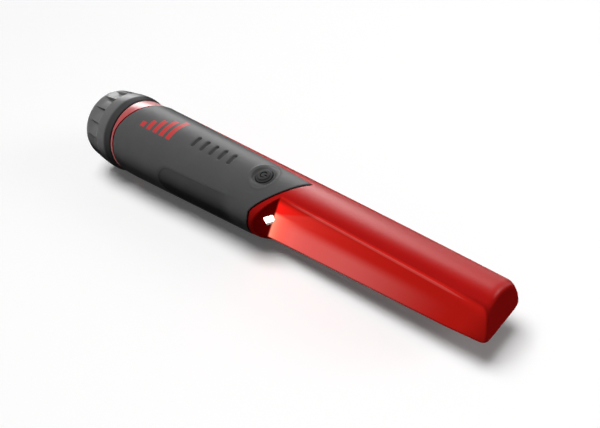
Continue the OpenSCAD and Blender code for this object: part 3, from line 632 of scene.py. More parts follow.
@dataclass(frozen=True)
class LitHousing(Moulding):
    """Satin red moulding, with the lamp's light on the flat in front of it painted as emission, a painted highlight
    along the flat's upper edge and painted shade on the scoop's wall.
    """

    tip_x: float = Datum.ends("probe_body")[1]
    wall_x: float = 128.9
    wall_lean: float = 0.445
    wall_edge: Span = (-0.3, 0.7)
    wall_skin: Span = (0.25, 0.6)
    wall_out: Span = (FLAT_D + 0.1, FLAT_D + 0.6)
    wall_rim: Span = (-0.8, -0.3)
    wall_shade: float = 0.5
    flat_in: Span = (FLAT_D - 1.2, FLAT_D - 0.4)
    flat_out: Span = (FLAT_D + 0.35, FLAT_D + 0.75)
    foot_fade: Span = (0.2, 1.6)
    edge_r: float = 20.1
    edge_width: float = 0.42
    edge_fade: Span = (0.55, 1.0)
    edge_start: Span = (2.0, 16.0)
    # Colour and strength of the painted highlight along the flat's upper edge.
    edge_highlight: Colour = (0.62, 0.17, 0.16)
    edge_highlight_shows: float = 0.5
    dull_tip: Span = (-0.8, -0.1)
    # Colours and reach of the lamp's light, painted as emission on the flat.
    far: Colour = (0.46, 0.010, 0.006)
    far_reach: float = 170.0
    far_top: Span = (9.0, 14.0)
    far_top_loss: float = 0.6
    far_tip: Span = (-9.0, 3.0)
    far_tip_lean: float = 0.6
    far_tip_loss: float = 0.5
    patch: Colour = (0.55, 0.004, 0.003)
    patch_reach: float = 11.0
    patch_top: Span = (9.0, 13.0)
    fan: Colour = (0.42, 0.050, 0.040)
    fan_reach: float = 15.0
    fan_x: float = 122.85
    fan_rise: float = 0.385
    fan_edge: Span = (-0.6, 0.9)
    rays: float = 7.0
    ray_start: float = 6.0
    ray_light: Span = (0.7, 1.3)
    # Pinkish painted reflection of the lamp on the flat, added as emission.
    painted_sheen: Colour = (0.13, 0.078, 0.075)
    painted_sheen_top: Span = (-2.0, 5.0)
    painted_sheen_start: Span = (2.0, 14.0)
    painted_sheen_end: Span = (36.0, 95.0)
    heart: Colour = (0.75, 0.30, 0.18)
    heart_reach: float = 4.5
    heart_top: Span = (2.5, 5.0)

    def painted_lamp_light(self, recipe: Recipe, station: Wire, up: Wire, ahead: Wire) -> list[tuple[Wire, Colour]]:
        """Parts of the lamp's light painted as emission on the flat, from the widest to the closest.

        Args:
            recipe: The material.
            station: Station of each place.
            up: Height along the flat.
            ahead: Distance in front of the scoop's wall.

        Returns:
            The amount and the colour of each part.
        """
        above = (up - (station - self.fan_x) * self.fan_rise).rise(*self.fan_edge)
        bands = recipe.add("ShaderNodeTexNoise", {"noise_dimensions": "1D"},
                           {"W": up / (ahead + self.ray_start) * self.rays, "Scale": 1.0, "Detail": 1.0})
        bright = recipe.add("ShaderNodeMapRange", {"clamp": False}, {
            "Value": bands, "To Min": self.ray_light[0], "To Max": self.ray_light[1]})
        # Painted light: a red pool that reaches the tip, a brighter patch and rays near the lamp, a pinkish painted
        # reflection and a hot spot at the wall. The pool is dimmed as painted shade where the flat bends into the tip.
        bent = (station - up * self.far_tip_lean).rise(*(self.tip_x + end for end in self.far_tip))
        far, patch, fan, heart = (math.e ** (ahead / -reach) for reach in (
            self.far_reach, self.patch_reach, self.fan_reach, self.heart_reach))
        return [(far * (1 - up.rise(*self.far_top) * self.far_top_loss) * (1 - bent * self.far_tip_loss), self.far),
                (patch * above * (1 - up.rise(*self.patch_top)), self.patch),
                (fan * (1 - above) * bright, self.fan),
                ((1 - up.rise(*self.painted_sheen_top)) * ahead.rise(*self.painted_sheen_start) * (1 - ahead.rise(*self.painted_sheen_end)),
                 self.painted_sheen),
                (heart * (1 - up.rise(*self.heart_top)), self.heart)]

    def surface(self, recipe: Recipe) -> dict[str, Any]:
        """Adds the painted lamp light, the painted highlight along the flat's upper edge and the painted shade on the
        scoop's wall to the moulding.

        Args:
            recipe: The material.

        Returns:
            The main shader's inputs.
        """
        sockets = super().surface(recipe)
        x, y, z = (axis * 1000 for axis in recipe.axes())
        station, height = x + Datum.MIDDLE, z - Datum.LIFT
        cos, sin = math.cos(FLAT_LEAN), math.sin(FLAT_LEAN)
        out = y * -cos + height * sin - (station - FLAT_X) * FLAT_FLARE
        up = y * sin + height * cos
        ahead = station - up * self.wall_lean - self.wall_x
        foot = height + UNDER_D + (self.tip_x - station) * UNDER_RISE
        on_flat = out.rise(*self.flat_in) * (1 - out.rise(*self.flat_out)) * ahead.rise(*self.wall_edge) \
            * foot.rise(*self.foot_fade)
        # Painted light: the lamp's light on the flat, added up as emission of the housing.
        painted_glow = (0.0, 0.0, 0.0)
        for amount, colour in self.painted_lamp_light(recipe, station, up, ahead):
            painted_glow = recipe.light(on_flat * amount, colour, painted_glow)
        rim = (y * y + height * height) ** 0.5 - self.edge_r + station * BODY_TAPER
        # Painted highlight: a thin pinkish stripe along the flat's upper edge, where its rounded edge would catch the
        # light.
        edge_highlight = (1 - (abs(out - FLAT_D) / self.edge_width).rise(*self.edge_fade)) \
            * (1 - (abs(rim) / (2 * self.edge_width)).rise(*self.edge_fade)) * (height > 0.0) \
            * ahead.rise(*self.edge_start)
        base = recipe.mix(edge_highlight * self.edge_highlight_shows, sockets["Base_Color"], self.edge_highlight)
        offsets = (place - spot for place, spot in zip((station, y, height), LAMP_SPOT))
        beyond = sum(offset * facing for offset, facing in zip(offsets, WALL_OUT))
        # Painted shade: the scoop's back wall is darkened towards a dark tint of the red, as it faces away from the
        # light.
        shaded_wall = (1 - abs(beyond).rise(*self.wall_skin)) * (1 - on_flat) * out.rise(*self.wall_out) \
            * (1 - rim.rise(*self.wall_rim))
        at_tip = station.rise(*(self.tip_x + end for end in self.dull_tip))
        return sockets | {"Base_Color": recipe.mix(shaded_wall * self.wall_shade, base, tinted(self.colour, SHADE_TINT)),
                          "Coat_Weight": sockets["Coat_Weight"] * (1 - on_flat) * (1 - shaded_wall) * (1 - at_tip),
                          "Emission_Color": painted_glow, "Emission_Strength": 1.0}


@dataclass(frozen=True)
class GripRubber(Moulding):
    """Soft-touch rubber with a printed row of rising bars near its back end, and painted shade in its sunk places."""

    print_colour: Colour = (0.52, 0.035, 0.035)
    bars: int = 5
    first_x: float = 40.0
    pitch: float = 4.8
    bar: float = 0.6
    foot_y: float = -5.5
    shortest: float = 3.0
    growth: float = 2.7
    print_wear: Span = (0.8, 0.2)
    print_gloss: float = 0.2
    sunk: Span = (0.15, 0.6)
    shade: float = 0.6

    def surface(self, recipe: Recipe) -> dict[str, Any]:
        """Adds the print and a painted shade in the sunk places (dish, slots, finger pad) to the moulding.

        Args:
            recipe: The material.

        Returns:
            The main shader's inputs.
        """
        sockets = super().surface(recipe)
        x, y, z = (axis * 1000 for axis in recipe.axes())
        run = (x + (Datum.MIDDLE - self.first_x)) / self.pitch
        count = run.floor()
        high, height = y - self.foot_y, z - Datum.LIFT
        printed = (run - count < self.bar) * (count > -0.5) * (count < self.bars - 0.5) * (high > 0.0) \
            * (high < count * self.growth + self.shortest) * (height > 0.0)
        least, more = self.print_wear
        base = recipe.mix(printed * (least + recipe.noise(0.5) * more), sockets["Base_Color"], self.print_colour)
        # Painted shade: darker where the surface lies below the round grip, as in the dish, the slots, the finger pad
        # and the rounded edges.
        past_band = recipe.math("MAXIMUM", x + (Datum.MIDDLE - BAND_X), 0.0)
        sunk = (HANDLE_R - past_band * GRIP_TAPER - (y * y + height * height) ** 0.5).rise(*self.sunk)
        return sockets | {"Base_Color": recipe.mix(sunk * self.shade, base, tinted(self.colour, SHADE_TINT)),
                          "Roughness": sockets["Roughness"] - printed * self.print_gloss}


@dataclass(frozen=True)
class MarkedButton(Moulding):
    """Satin moulding, near black in its sunk mark."""

    top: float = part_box("power_button")[1].z
    reach: float = 2.3
    sunk: float = 0.08
    black: float = 0.08

    def surface(self, recipe: Recipe) -> dict[str, Any]:
        """Adds the black of the mark to the moulding.

        Args:
            recipe: The material.

        Returns:
            The main shader's inputs.
        """
        sockets = super().surface(recipe)
        x, y, z = recipe.axes()
        off = x - Datum.point(BUTTON_X, 0.0, 0.0).x
        mark = (z < self.top - self.sunk / 1000) * ((off * off + y * y) ** 0.5 < self.reach / 1000)
        return sockets | {"Base_Color": recipe.mix(mark, sockets["Base_Color"], tinted(self.colour, self.black))}


@dataclass(frozen=True)
class CapMoulding(Moulding):
    """Moulding of the cap, less glossy on its front chamfer and darkened there by painted shade."""

    band: Span = (18.4, 20.4)
    chamfer_shade_tint: float = 0.45
    band_dull: float = 0.7

    def surface(self, recipe: Recipe) -> dict[str, Any]:
        """Adds the painted shade and the duller coat of the front chamfer to the moulding.

        Args:
            recipe: The material.

        Returns:
            The main shader's inputs.
        """
        sockets = super().surface(recipe)
        # Painted shade: the front chamfer is darkened, as if it faced away from the light.
        band = recipe.axes()[0].rise(*(Datum.point(x, 0.0, 0.0).x for x in self.band))
        return sockets | {"Base_Color": recipe.mix(band, sockets["Base_Color"], tinted(self.colour, self.chamfer_shade_tint)),
                          "Coat_Weight": sockets["Coat_Weight"] * (1 - band * self.band_dull)}


@dataclass(frozen=True)
class TurnedMetal(Finish):
    """Metal with fine tool lines round the long axis."""

    colour: Colour
    roughness: float = 0.3
    lines: float = 0.06
    line_depth: float = 0.004
    line_drawn: float = 0.05
    unevenness: float = 0.22
    cloud: float = 4.0
    tints: Span = (0.85, 1.12)
    metallic: float = 1.0
    gloss: float = 0.5
    coat: float = 0.0
    coat_roughness: float = 0.25

    def surface(self, recipe: Recipe) -> dict[str, Any]:
        """Adds the tool lines and a faint cloud.

        Args:
            recipe: The material.

        Returns:
            The main shader's inputs.
        """
        lines = recipe.noise(1.0, detail=2.0, vector=recipe.stretched((1 / self.lines, *[self.line_drawn] * 2)))
        tints = (tinted(self.colour, by) for by in self.tints)
        return {"Base_Color": recipe.mix(recipe.noise(self.cloud), *tints), "Metallic": self.metallic,
                "Roughness": self.roughness + (lines - 0.5) * self.unevenness,
                "Normal": recipe.bump(lines, self.line_depth), "Specular_IOR_Level": self.gloss,
                "Coat_Weight": recipe.upper_side() * self.coat if self.coat else 0.0,
                "Coat_Roughness": self.coat_roughness}


@dataclass(frozen=True)
class Rubber(Finish):
    """Plain dark rubber with a faint bloom."""

    colour: Colour
    bloom: float = 0.12
    bloom_size: float = 3.0
    bloom_colour: Colour = (0.3, 0.3, 0.31)
    bloom_dull: float = 0.2
    roughness: float = 0.55
    grain: float = 0.25
    grain_depth: float = 0.012

    def surface(self, recipe: Recipe) -> dict[str, Any]:
        """Adds the bloom and a fine grain.

        Args:
            recipe: The material.

        Returns:
            The main shader's inputs.
        """
        cloud = recipe.noise(self.bloom_size)
        return {"Base_Color": recipe.mix(cloud * self.bloom, self.colour, self.bloom_colour),
                "Roughness": self.roughness + cloud * self.bloom_dull,
                "Normal": recipe.bump(recipe.noise(self.grain), self.grain_depth)}


@dataclass(frozen=True)
class Foam(Finish):
    """Closed-cell foam with its pores."""

    colour: Colour
    pore: float = 0.6

    def surface(self, recipe: Recipe) -> dict[str, Any]:
        """Adds the pores.

        Args:
            recipe: The material.

        Returns:
            The main shader's inputs.
        """
        pores = recipe.cells(self.pore)
        # Darker where the relief is low: painted shade in the pores.
        return {"Base_Color": recipe.mix(pores, tinted(self.colour, 1.5), tinted(self.colour, 0.5)),
                "Roughness": 0.9, "Normal": recipe.bump(1 - pores, self.pore / 4)}


@dataclass(frozen=True)
class CircuitBoard(Finish):
    """Solder mask with tracks under it and bare pads."""

    colour: Colour
    track: float = 10 / 7
    track_edge: Span = (0.1, 0.16)
    track_tint: float = 1.9
    jump: float = 0.4
    jumps: int = 5
    jump_size: float = 3.0
    pad: float = 2.2
    pad_edge: Span = (0.16, 0.2)
    pad_colour: Colour = (0.62, 0.60, 0.52)

    def surface(self, recipe: Recipe) -> dict[str, Any]:
        """Adds the tracks, which jump sideways where the noise steps, and the pads.

        Args:
            recipe: The material.

        Returns:
            The main shader's inputs.
        """
        jumps = (recipe.noise(self.jump_size, detail=0.0) * self.jumps).floor()
        moved = recipe.axes()[1] * (1000 / self.track) + jumps * self.jump
        shown = 1 - abs(moved - moved.floor() - 0.5).rise(*self.track_edge)
        pads = 1 - recipe.cells(self.pad).rise(*self.pad_edge)
        base = recipe.mix(shown, self.colour, tinted(self.colour, self.track_tint))
        return {"Base_Color": recipe.mix(pads, base, self.pad_colour), "Metallic": pads * 0.8,
                "Roughness": 0.35 - pads * 0.1, "Normal": recipe.bump(shown + pads, 0.03)}


@dataclass(frozen=True)
class Winding(Finish):
    """Enamelled wire in tight turns along the coil."""

    colour: Colour
    wire: float = 0.3

    def surface(self, recipe: Recipe) -> dict[str, Any]:
        """Adds the turns.

        Args:
            recipe: The material.

        Returns:
            The main shader's inputs.
        """
        run = recipe.axes()[0] * (1000 / self.wire)
        turn = abs(run - run.floor() - 0.5) * 2
        # Darker towards the edges of each turn: painted shade in the grooves between turns.
        return {"Base_Color": recipe.mix(turn * turn, self.colour, tinted(self.colour, 0.3)), "Metallic": 0.85,
                "Roughness": 0.28 + turn * 0.2, "Normal": recipe.bump(1 - turn * turn, self.wire / 2)}


@dataclass(frozen=True)
class LampWindow(Finish):
    """Lit window of the lamp, bright in its upper part and grey below."""

    strength: float = 5.0
    lit_from: Span = (-1.2, -0.4)
    glass: tuple[Colour, Colour] = ((0.30, 0.22, 0.21), (0.9, 0.9, 0.9))
    light: tuple[Colour, Colour] = ((0.04, 0.032, 0.03), (1.0, 0.95, 0.90))

    def surface(self, recipe: Recipe) -> dict[str, Any]:
        """Adds the light and a faint haze.

        Args:
            recipe: The material.

        Returns:
            The main shader's inputs.
        """
        lit = (recipe.axes()[2] - Datum.point(*LAMP_SPOT).z).rise(*(end / 1000 for end in self.lit_from))
        haze = recipe.noise(1.4)
        return {"Base_Color": recipe.mix(lit, *self.glass), "Roughness": 0.12 + haze * 0.1,
                "Normal": recipe.bump(haze, 0.02), "Emission_Strength": self.strength,
                "Emission_Color": recipe.mix(lit, *self.light)}


class Finishes:
    """Finish of each of the record's material slots, made once each."""

    BY_SLOT: ClassVar[dict[str, Finish]] = {
        "red_housing": LitHousing((0.42, 0.009, 0.008), roughness=0.5, grain=0.3, grain_depth=0.005, mottle=0.05,
                                  gloss=0.0, marks=0.0, coat=0.85, coat_roughness=0.38, coat_from=-0.3),
        "grip_rubber": GripRubber((0.070, 0.070, 0.071), roughness=0.5, grain=0.28, grain_depth=0.02, gloss=0.0,
                                  marks=0.01, coat=0.5, coat_roughness=0.42),
        "red_collar": TurnedMetal((0.40, 0.014, 0.016), roughness=0.45, metallic=0.12, gloss=0.15, coat=1.0),
        "cap_plastic": CapMoulding((0.095, 0.095, 0.096), roughness=0.42, grain=0.3, grain_depth=0.015, marks=0.02,
                                   gloss=0.0, coat=0.8, coat_roughness=0.36),
        "button_plastic": MarkedButton((0.030, 0.030, 0.031), roughness=0.5, grain=0.2, grain_depth=0.006, marks=0.02,
                                       gloss=0.1),
        "seal_rubber": Rubber((0.012, 0.012, 0.012)),
        "foam": Foam((0.05, 0.05, 0.055)),
        "inner_plastic": Moulding((0.045, 0.045, 0.05), roughness=0.55),
        "cell_jacket": TurnedMetal((0.45, 0.30, 0.09), roughness=0.35, lines=0.3),
        "spring_steel": TurnedMetal((0.55, 0.55, 0.56), roughness=0.25),
        "contact_metal": TurnedMetal((0.70, 0.52, 0.20), roughness=0.3),
        "circuit_board": CircuitBoard((0.012, 0.10, 0.04)),
        "chip_plastic": Moulding((0.02, 0.02, 0.021), roughness=0.6, grain=0.1),
        "motor_can": TurnedMetal((0.58, 0.59, 0.61), roughness=0.28),
        "clear_window": LampWindow(),
        "light_chip": Moulding((0.80, 0.74, 0.50), roughness=0.4, grain=0.15),
        "bobbin_plastic": Moulding((0.62, 0.61, 0.55), roughness=0.55),
        "ferrite": Moulding((0.035, 0.035, 0.038), roughness=0.7, grain=0.15, grain_depth=0.05),
        "copper_wire": Winding((0.50, 0.19, 0.06)),
        "lead_insulation": Moulding((0.40, 0.02, 0.015), roughness=0.4, grain=0.4),
    }

    def __init__(self) -> None:
        """Starts with no material made."""
        self.made: dict[str, bpy.types.Material] = {}

    def dress(self, piece: bpy.types.Object, slot: str) -> None:
        """Gives a piece the finish of a slot.

        Args:
            piece: New piece or CAD node.
            slot: Name of the record's material slot.
        """
        if slot not in self.made:
            self.made[slot] = self.BY_SLOT[slot].make(slot)
        piece.data.materials.clear()
        piece.data.materials.append(self.made[slot])

    def dress_nodes(self, record: Mapping[str, Any], nodes: Mapping[str, bpy.types.Object]) -> None:
        """Gives every CAD node the finish that the record names for it."""
        for part in record["subparts"]:
            self.dress(nodes[part["node"]], part["material_slot"])


@dataclass(frozen=True)
class HandleForm:
    """Turned form of the handle, and the grip's outline on it, that the housing and the grip share."""

    seat_x: float = Datum.ends("probe_body")[0]
    back_x: float = Datum.ends("grip_sleeve")[0]
    side_y0: float = 19.4
    point_x: float = 140.6
    point_y: float = 7.7
    corner_x: float = 121.5
    corner_y: float = -14.2
    corner_z: float = 8.3
    bow_r: float = 54.0
    bow_blend: float = 1.4
    run_slant: float = 0.042
    recess: float = 0.25
    recess_blend: float = 0.8
    above_corner: float = 6.0
    turn_y: float = -12.0
    turn_blend: float = 0.6
    slant: float = 0.33
    rounds: int = 60

    def grip_r(self, x: Array) -> Array:
        """Radius of the grip at a station."""
        return HANDLE_R - GRIP_TAPER * np.maximum(0.0, x - BAND_X)

    def body_r(self, x: Array) -> Array:
        """Radius of the red housing at a station."""
        return HANDLE_R - BODY_TAPER * np.maximum(0.0, x - BAND_X)

    def side_y(self, x: Array) -> Array:
        """Distance of the grip's side edge from the middle plane at a station."""
        return self.side_y0 + (self.point_y - self.side_y0) * x / self.point_x

    def side_angle(self, x: Array) -> Array:
        """Angle of the grip's side edge from the top at a station."""
        return np.arcsin(self.side_y(x) / self.grip_r(x))

    def front_x(self, y: Array, z: Array) -> Array:
        """Station of the grip's front edge.

        Args:
            y: Distances from the middle plane.
            z: Heights above the axis.

        Returns:
            The stations: a bow over the top, and a run down the lamp side that draws back as it goes under.
        """
        point, corner = Vector((self.point_x, self.point_y)), Vector((self.corner_x, self.corner_y))
        chord = point - corner
        side = Vector((-chord.y, chord.x)).normalized()
        centre = (point + corner) / 2 + side * math.sqrt(self.bow_r ** 2 - chord.length_squared / 4)
        bow = centre.x + np.sqrt(np.maximum(self.bow_r ** 2 - (y - centre.y) ** 2, 1.0))
        run = self.corner_x + (y - self.corner_y) * self.run_slant
        over = z - self.corner_z
        under = self.corner_x + self.recess * over + self.above_corner * np.maximum(over, 0.0)
        return soft_min(soft_max(bow, run, self.bow_blend), under, self.recess_blend)

    def rear_x(self, y: Array) -> Array:
        """Station of the grip's back edge: straight on the lamp side, and slanting forwards over the handle."""
        return self.back_x + soft_max(self.slant * (y - self.turn_y), 0 * y, self.turn_blend)

    def turn(self, t: Array, x: Array) -> Array:
        """Angle from the top, for a share of the way round the grip from its lower to its upper side edge."""
        edge = self.side_angle(x)
        return t * (math.pi + 2 * edge) - (math.pi + edge)

    def ends(self, t: Array) -> tuple[Array, Array]:
        """Stations of the grip's back and front edge, found step by step, as each depends on its own turn.

        Args:
            t: Shares of the way round the grip.

        Returns:
            The stations of the back and of the front edge.
        """
        back, front = np.full_like(t, self.back_x), np.full_like(t, self.point_x)
        for _ in range(self.rounds):
            back = (back + self.rear_x(self.grip_r(back) * np.sin(self.turn(t, back)))) / 2
            turn, radius = self.turn(t, front), self.grip_r(front)
            front = (front * 3 + self.front_x(radius * np.sin(turn), radius * np.cos(turn))) / 4
        return back, front

    def columns(self) -> Array:
        """Columns of the grip's and the housing's grid, closest where the top's details are and at the side edges.

        Returns:
            The columns as shares of the way round the grip.
        """
        edge = math.degrees(float(self.side_angle(np.array(BUTTON_X))))
        low = -180 - edge
        spans = [(low, low + 3.2, 5), (low + 3.2, -128, 28), (-128, -60, 42), (-60, -36, 18), (-36, edge - 4.0, 60),
                 (edge - 4.0, edge - 0.8, 8), (edge - 0.8, edge, 5)]
        degrees = np.concatenate([np.linspace(a, b, n, endpoint=False) for a, b, n in spans] + [[edge]])
        return (degrees - low) / (edge - low)


class SubAssembly:
    """A sub-assembly whose new piece stands for a CAD node."""

    BODY: ClassVar[Body] = Body.HOUSING
    SLOT: ClassVar[str]
    NODE: ClassVar[str]

    def model(self) -> bpy.types.Object:
        """Models the piece in its place."""
        raise NotImplementedError

    def build(self, finishes: Finishes) -> bpy.types.Object:
        """Models and dresses the piece, and makes it stand for its CAD node.

        Args:
            finishes: Source of its finish.

        Returns:
            The finished piece.
        """
        piece = self.model()
        finishes.dress(piece, self.SLOT)
        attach(piece, self.BODY.value)
        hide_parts(self.NODE)
        log.info("%s: %d faces", piece.name, len(piece.data.polygons))
        return piece


@dataclass
class RedHousing(SubAssembly):
    """Red tapered housing with the lamp's scoop, the side flats and the blunt tip."""

    SLOT, NODE = "red_housing", "probe_body"

    form: HandleForm
    tip_x: float = Datum.ends("probe_body")[1]
    tip_round: float = 0.2
    tip_run_out: float = 2.8
    plain_d: float = 12.4
    plain_rise: float = math.tan(math.radians(3.5))
    plain_blend: float = 3.0
    foot_blend: float = 1.2
    wall_blend: float = 0.5
    edge_blend: float = 0.8
    tip_blend: float = 2.2
    tip_run: float = 22.0
    seat_drop: float = 1.45
    seat_round: Span = (0.38, 0.12)
    seat_in: tuple[float, ...] = (-0.06, -0.03, -0.01)
    seat_out: tuple[float, ...] = (0.45, 0.5, 0.7, 1.2)
    rear_gap: float = 0.1
    rear_rows: int = 6
    seat_rows: int = 40
    near_start: float = 1.5
    near_run: float = 18.0
    near_rows: int = 56
    far_rows: int = 48
    tip_rows: int = 9
    tip_face: tuple[float, ...] = (0.985, 0.5, 0.0)
    side_columns: int = 52
    side_close: tuple[float, ...] = (0.0015, 0.006, 0.014)
    bore_r: float = 14.8
    bore_end: float = 96.0
    sleeve_r: float = 16.75
    sleeve_end: float = 39.8
    button_floor: float = 12.9

    def skin(self, x: Array, angle: Array) -> Array:
        """Distance of the housing's outside from the axis.

        Args:
            x: Stations.
            angle: Angles from the top.

        Returns:
            The distances in mm, with the flats, the scoop and the underside taken off.
        """
        flat = self.cut(FLAT_D + FLAT_FLARE * (x - FLAT_X), np.sin(FLAT_LEAN - angle))
        plain = self.cut(self.plain_d - self.plain_rise * (x - self.tip_x), np.sin(angle + FLAT_LEAN))
        under = self.cut(UNDER_D + UNDER_RISE * (self.tip_x - x), -np.cos(angle))
        nose = soft_max(soft_min(flat, under, self.foot_blend), self.wall(x, angle), self.wall_blend)
        blend = self.edge_blend + self.tip_blend * soft_step(self.tip_x - self.tip_run, self.tip_x, x)
        return soft_min(soft_min(self.form.body_r(x), nose, blend), plain, self.plain_blend)

    def wall(self, x: Array, angle: Array) -> Array:
        """Distance from the axis to the scoop's back wall, which leans over the flat.

        Args:
            x: Stations.
            angle: Angles from the top.

        Returns:
            The distances in mm, 0 in front of the wall.
        """
        room = np.maximum(WALL_OUT.dot(LAMP_SPOT) - WALL_OUT.x * x, 0.0)
        return room / np.maximum(WALL_OUT.y * np.sin(angle) + WALL_OUT.z * np.cos(angle), 0.01)

    @staticmethod
    def cut(distance: Array, facing: Array, least: float = 0.05, far: float = 99.0) -> Array:
        """Distance along each ray to a plane.

        Args:
            distance: Distance of the plane from the axis.
            facing: Cosine between the ray and the plane's normal.
            least: Cosine at which a ray no longer meets the plane.
            far: Distance that such a ray gets.

        Returns:
            The distance along each ray.
        """
        return np.where(facing > least, distance / np.maximum(facing, least), far)

    def rows(self, back: Array, front: Array) -> tuple[Array, Array]:
        """Stations of the rows on each column.

        Args:
            back: Station of the grip's back edge on each column.
            front: Station of its front edge.

        Returns:
            The stations, rows by columns, and how deep each point lies: 2 under the ring, 1 in the grip's seat and 0 on
            the outside.
        """
        seat_x, near_end = self.form.seat_x, front + self.near_run
        rear = np.linspace(0.0, 1.0, self.rear_rows)[:, None] * (back - self.rear_gap - seat_x) + seat_x
        into = back + np.array(self.seat_in)[:, None]
        seat = back + np.linspace(0.001, 1.0, self.seat_rows)[:, None] * (front - back)
        out = front + np.array(self.seat_out)[:, None]
        near = front + np.linspace(self.near_start, self.near_run, self.near_rows)[:, None]
        far = near_end + np.linspace(0.0, 1.0, self.far_rows)[1:, None] * (self.tip_x - self.tip_run_out - near_end)
        level = [2.0] * (len(rear) + 1) + [*self.seat_round] + [1.0] * (len(seat) + 1) + [*self.seat_round] \
            + [0.0] * (1 + len(near) + len(far))
        return np.concatenate([rear, into, seat, out, near, far]), np.array(level)[:, None] + 0 * front

    def outside(self) -> tuple[Array, Array, Array]:
        """Grid of the outside behind the tip, with the grip's seat sunk into it.

        Returns:
            Stations, angles from the top and distances from the axis, rows by columns.
        """
        form, close = self.form, np.array(self.side_close)
        t = form.columns()
        share = np.concatenate([close, np.linspace(0.03, 0.97, self.side_columns), 1 - close[::-1]])
        lip = np.concatenate([np.ones(len(t)), self.seat_round, np.zeros(len(share) - 4), self.seat_round[::-1]])
        back, front = (np.concatenate([edge, edge[-1] + (edge[0] - edge[-1]) * share]) for edge in form.ends(t))
        x, depth = self.rows(back, front)
        upper, lower = (form.side_angle(np.minimum(x, front[column])) for column in (len(t) - 1, 0))
        around = np.concatenate([np.zeros(len(t)), share])
        angle = np.where(np.arange(len(front)) < len(t),
                         form.turn(np.concatenate([t, 0 * share]), np.minimum(x, front)),
                         upper + around * (math.pi - upper - lower))
        behind = (np.arange(len(x)) < self.rear_rows + len(self.seat_in))[:, None]
        sunk = np.maximum(np.where(lip < 1, depth, 1.0) * behind, np.minimum(depth, lip))
        drop = self.seat_drop * np.clip(sunk, 0.0, 1.0)
        radius = self.skin(x, angle)
        return x, angle, np.where(drop > 0, np.minimum(radius, form.grip_r(x)) - drop, radius)

    def tip(self, angle: Array) -> tuple[Array, Array, Array]:
        """Grid of the rounded tip, drawn in to its middle.

        Args:
            angle: Angle of each column.

        Returns:
            Stations, angles and distances, as for the outside.
        """
        bend = np.radians(np.linspace(0, 90, self.tip_rows + 1))[1:, None]
        x = self.tip_x - self.tip_run_out * (1 - np.sin(bend)) + 0 * angle
        angle = angle + 0 * bend
        radius = self.skin(x, angle) * (1 - self.tip_round * (1 - np.cos(bend)))
        shrink = np.array(self.tip_face)[:, None]
        return tuple(np.concatenate([part, part[-1] * scale]) for part, scale in (
            (x, shrink ** 0), (angle, shrink ** 0), (radius, shrink)))

    def bore(self, angle: Array) -> tuple[Array, Array, Array]:
        """Grid of the bore, from its end back to the seat of the ring.

        Args:
            angle: Angle of each column.

        Returns:
            Stations, angles and distances, as for the outside.
        """
        steps = np.array([(self.bore_end, self.bore_r), (self.sleeve_end, self.bore_r),
                          (self.sleeve_end, self.sleeve_r), (self.form.seat_x, self.sleeve_r)])
        x, radius = (steps[:, i, None] + 0 * angle for i in (0, 1))
        return x, angle + 0 * x, radius

    def model(self) -> bpy.types.Object:
        """Models the housing from its grids and cuts the button's hole.

        Returns:
            The piece, in its place.
        """
        outside = self.outside()
        grids = self.bore(outside[1][0]), outside, self.tip(outside[1][-1])
        piece = Bench.sheet("housing_shell", *(np.concatenate(parts) for parts in zip(*grids)), closed=True)
        Bench.fill_openings(piece, inset=2e-4)
        Bench.cut(piece, PowerButton.well(self.button_floor))
        return Bench.finish(piece, 34)


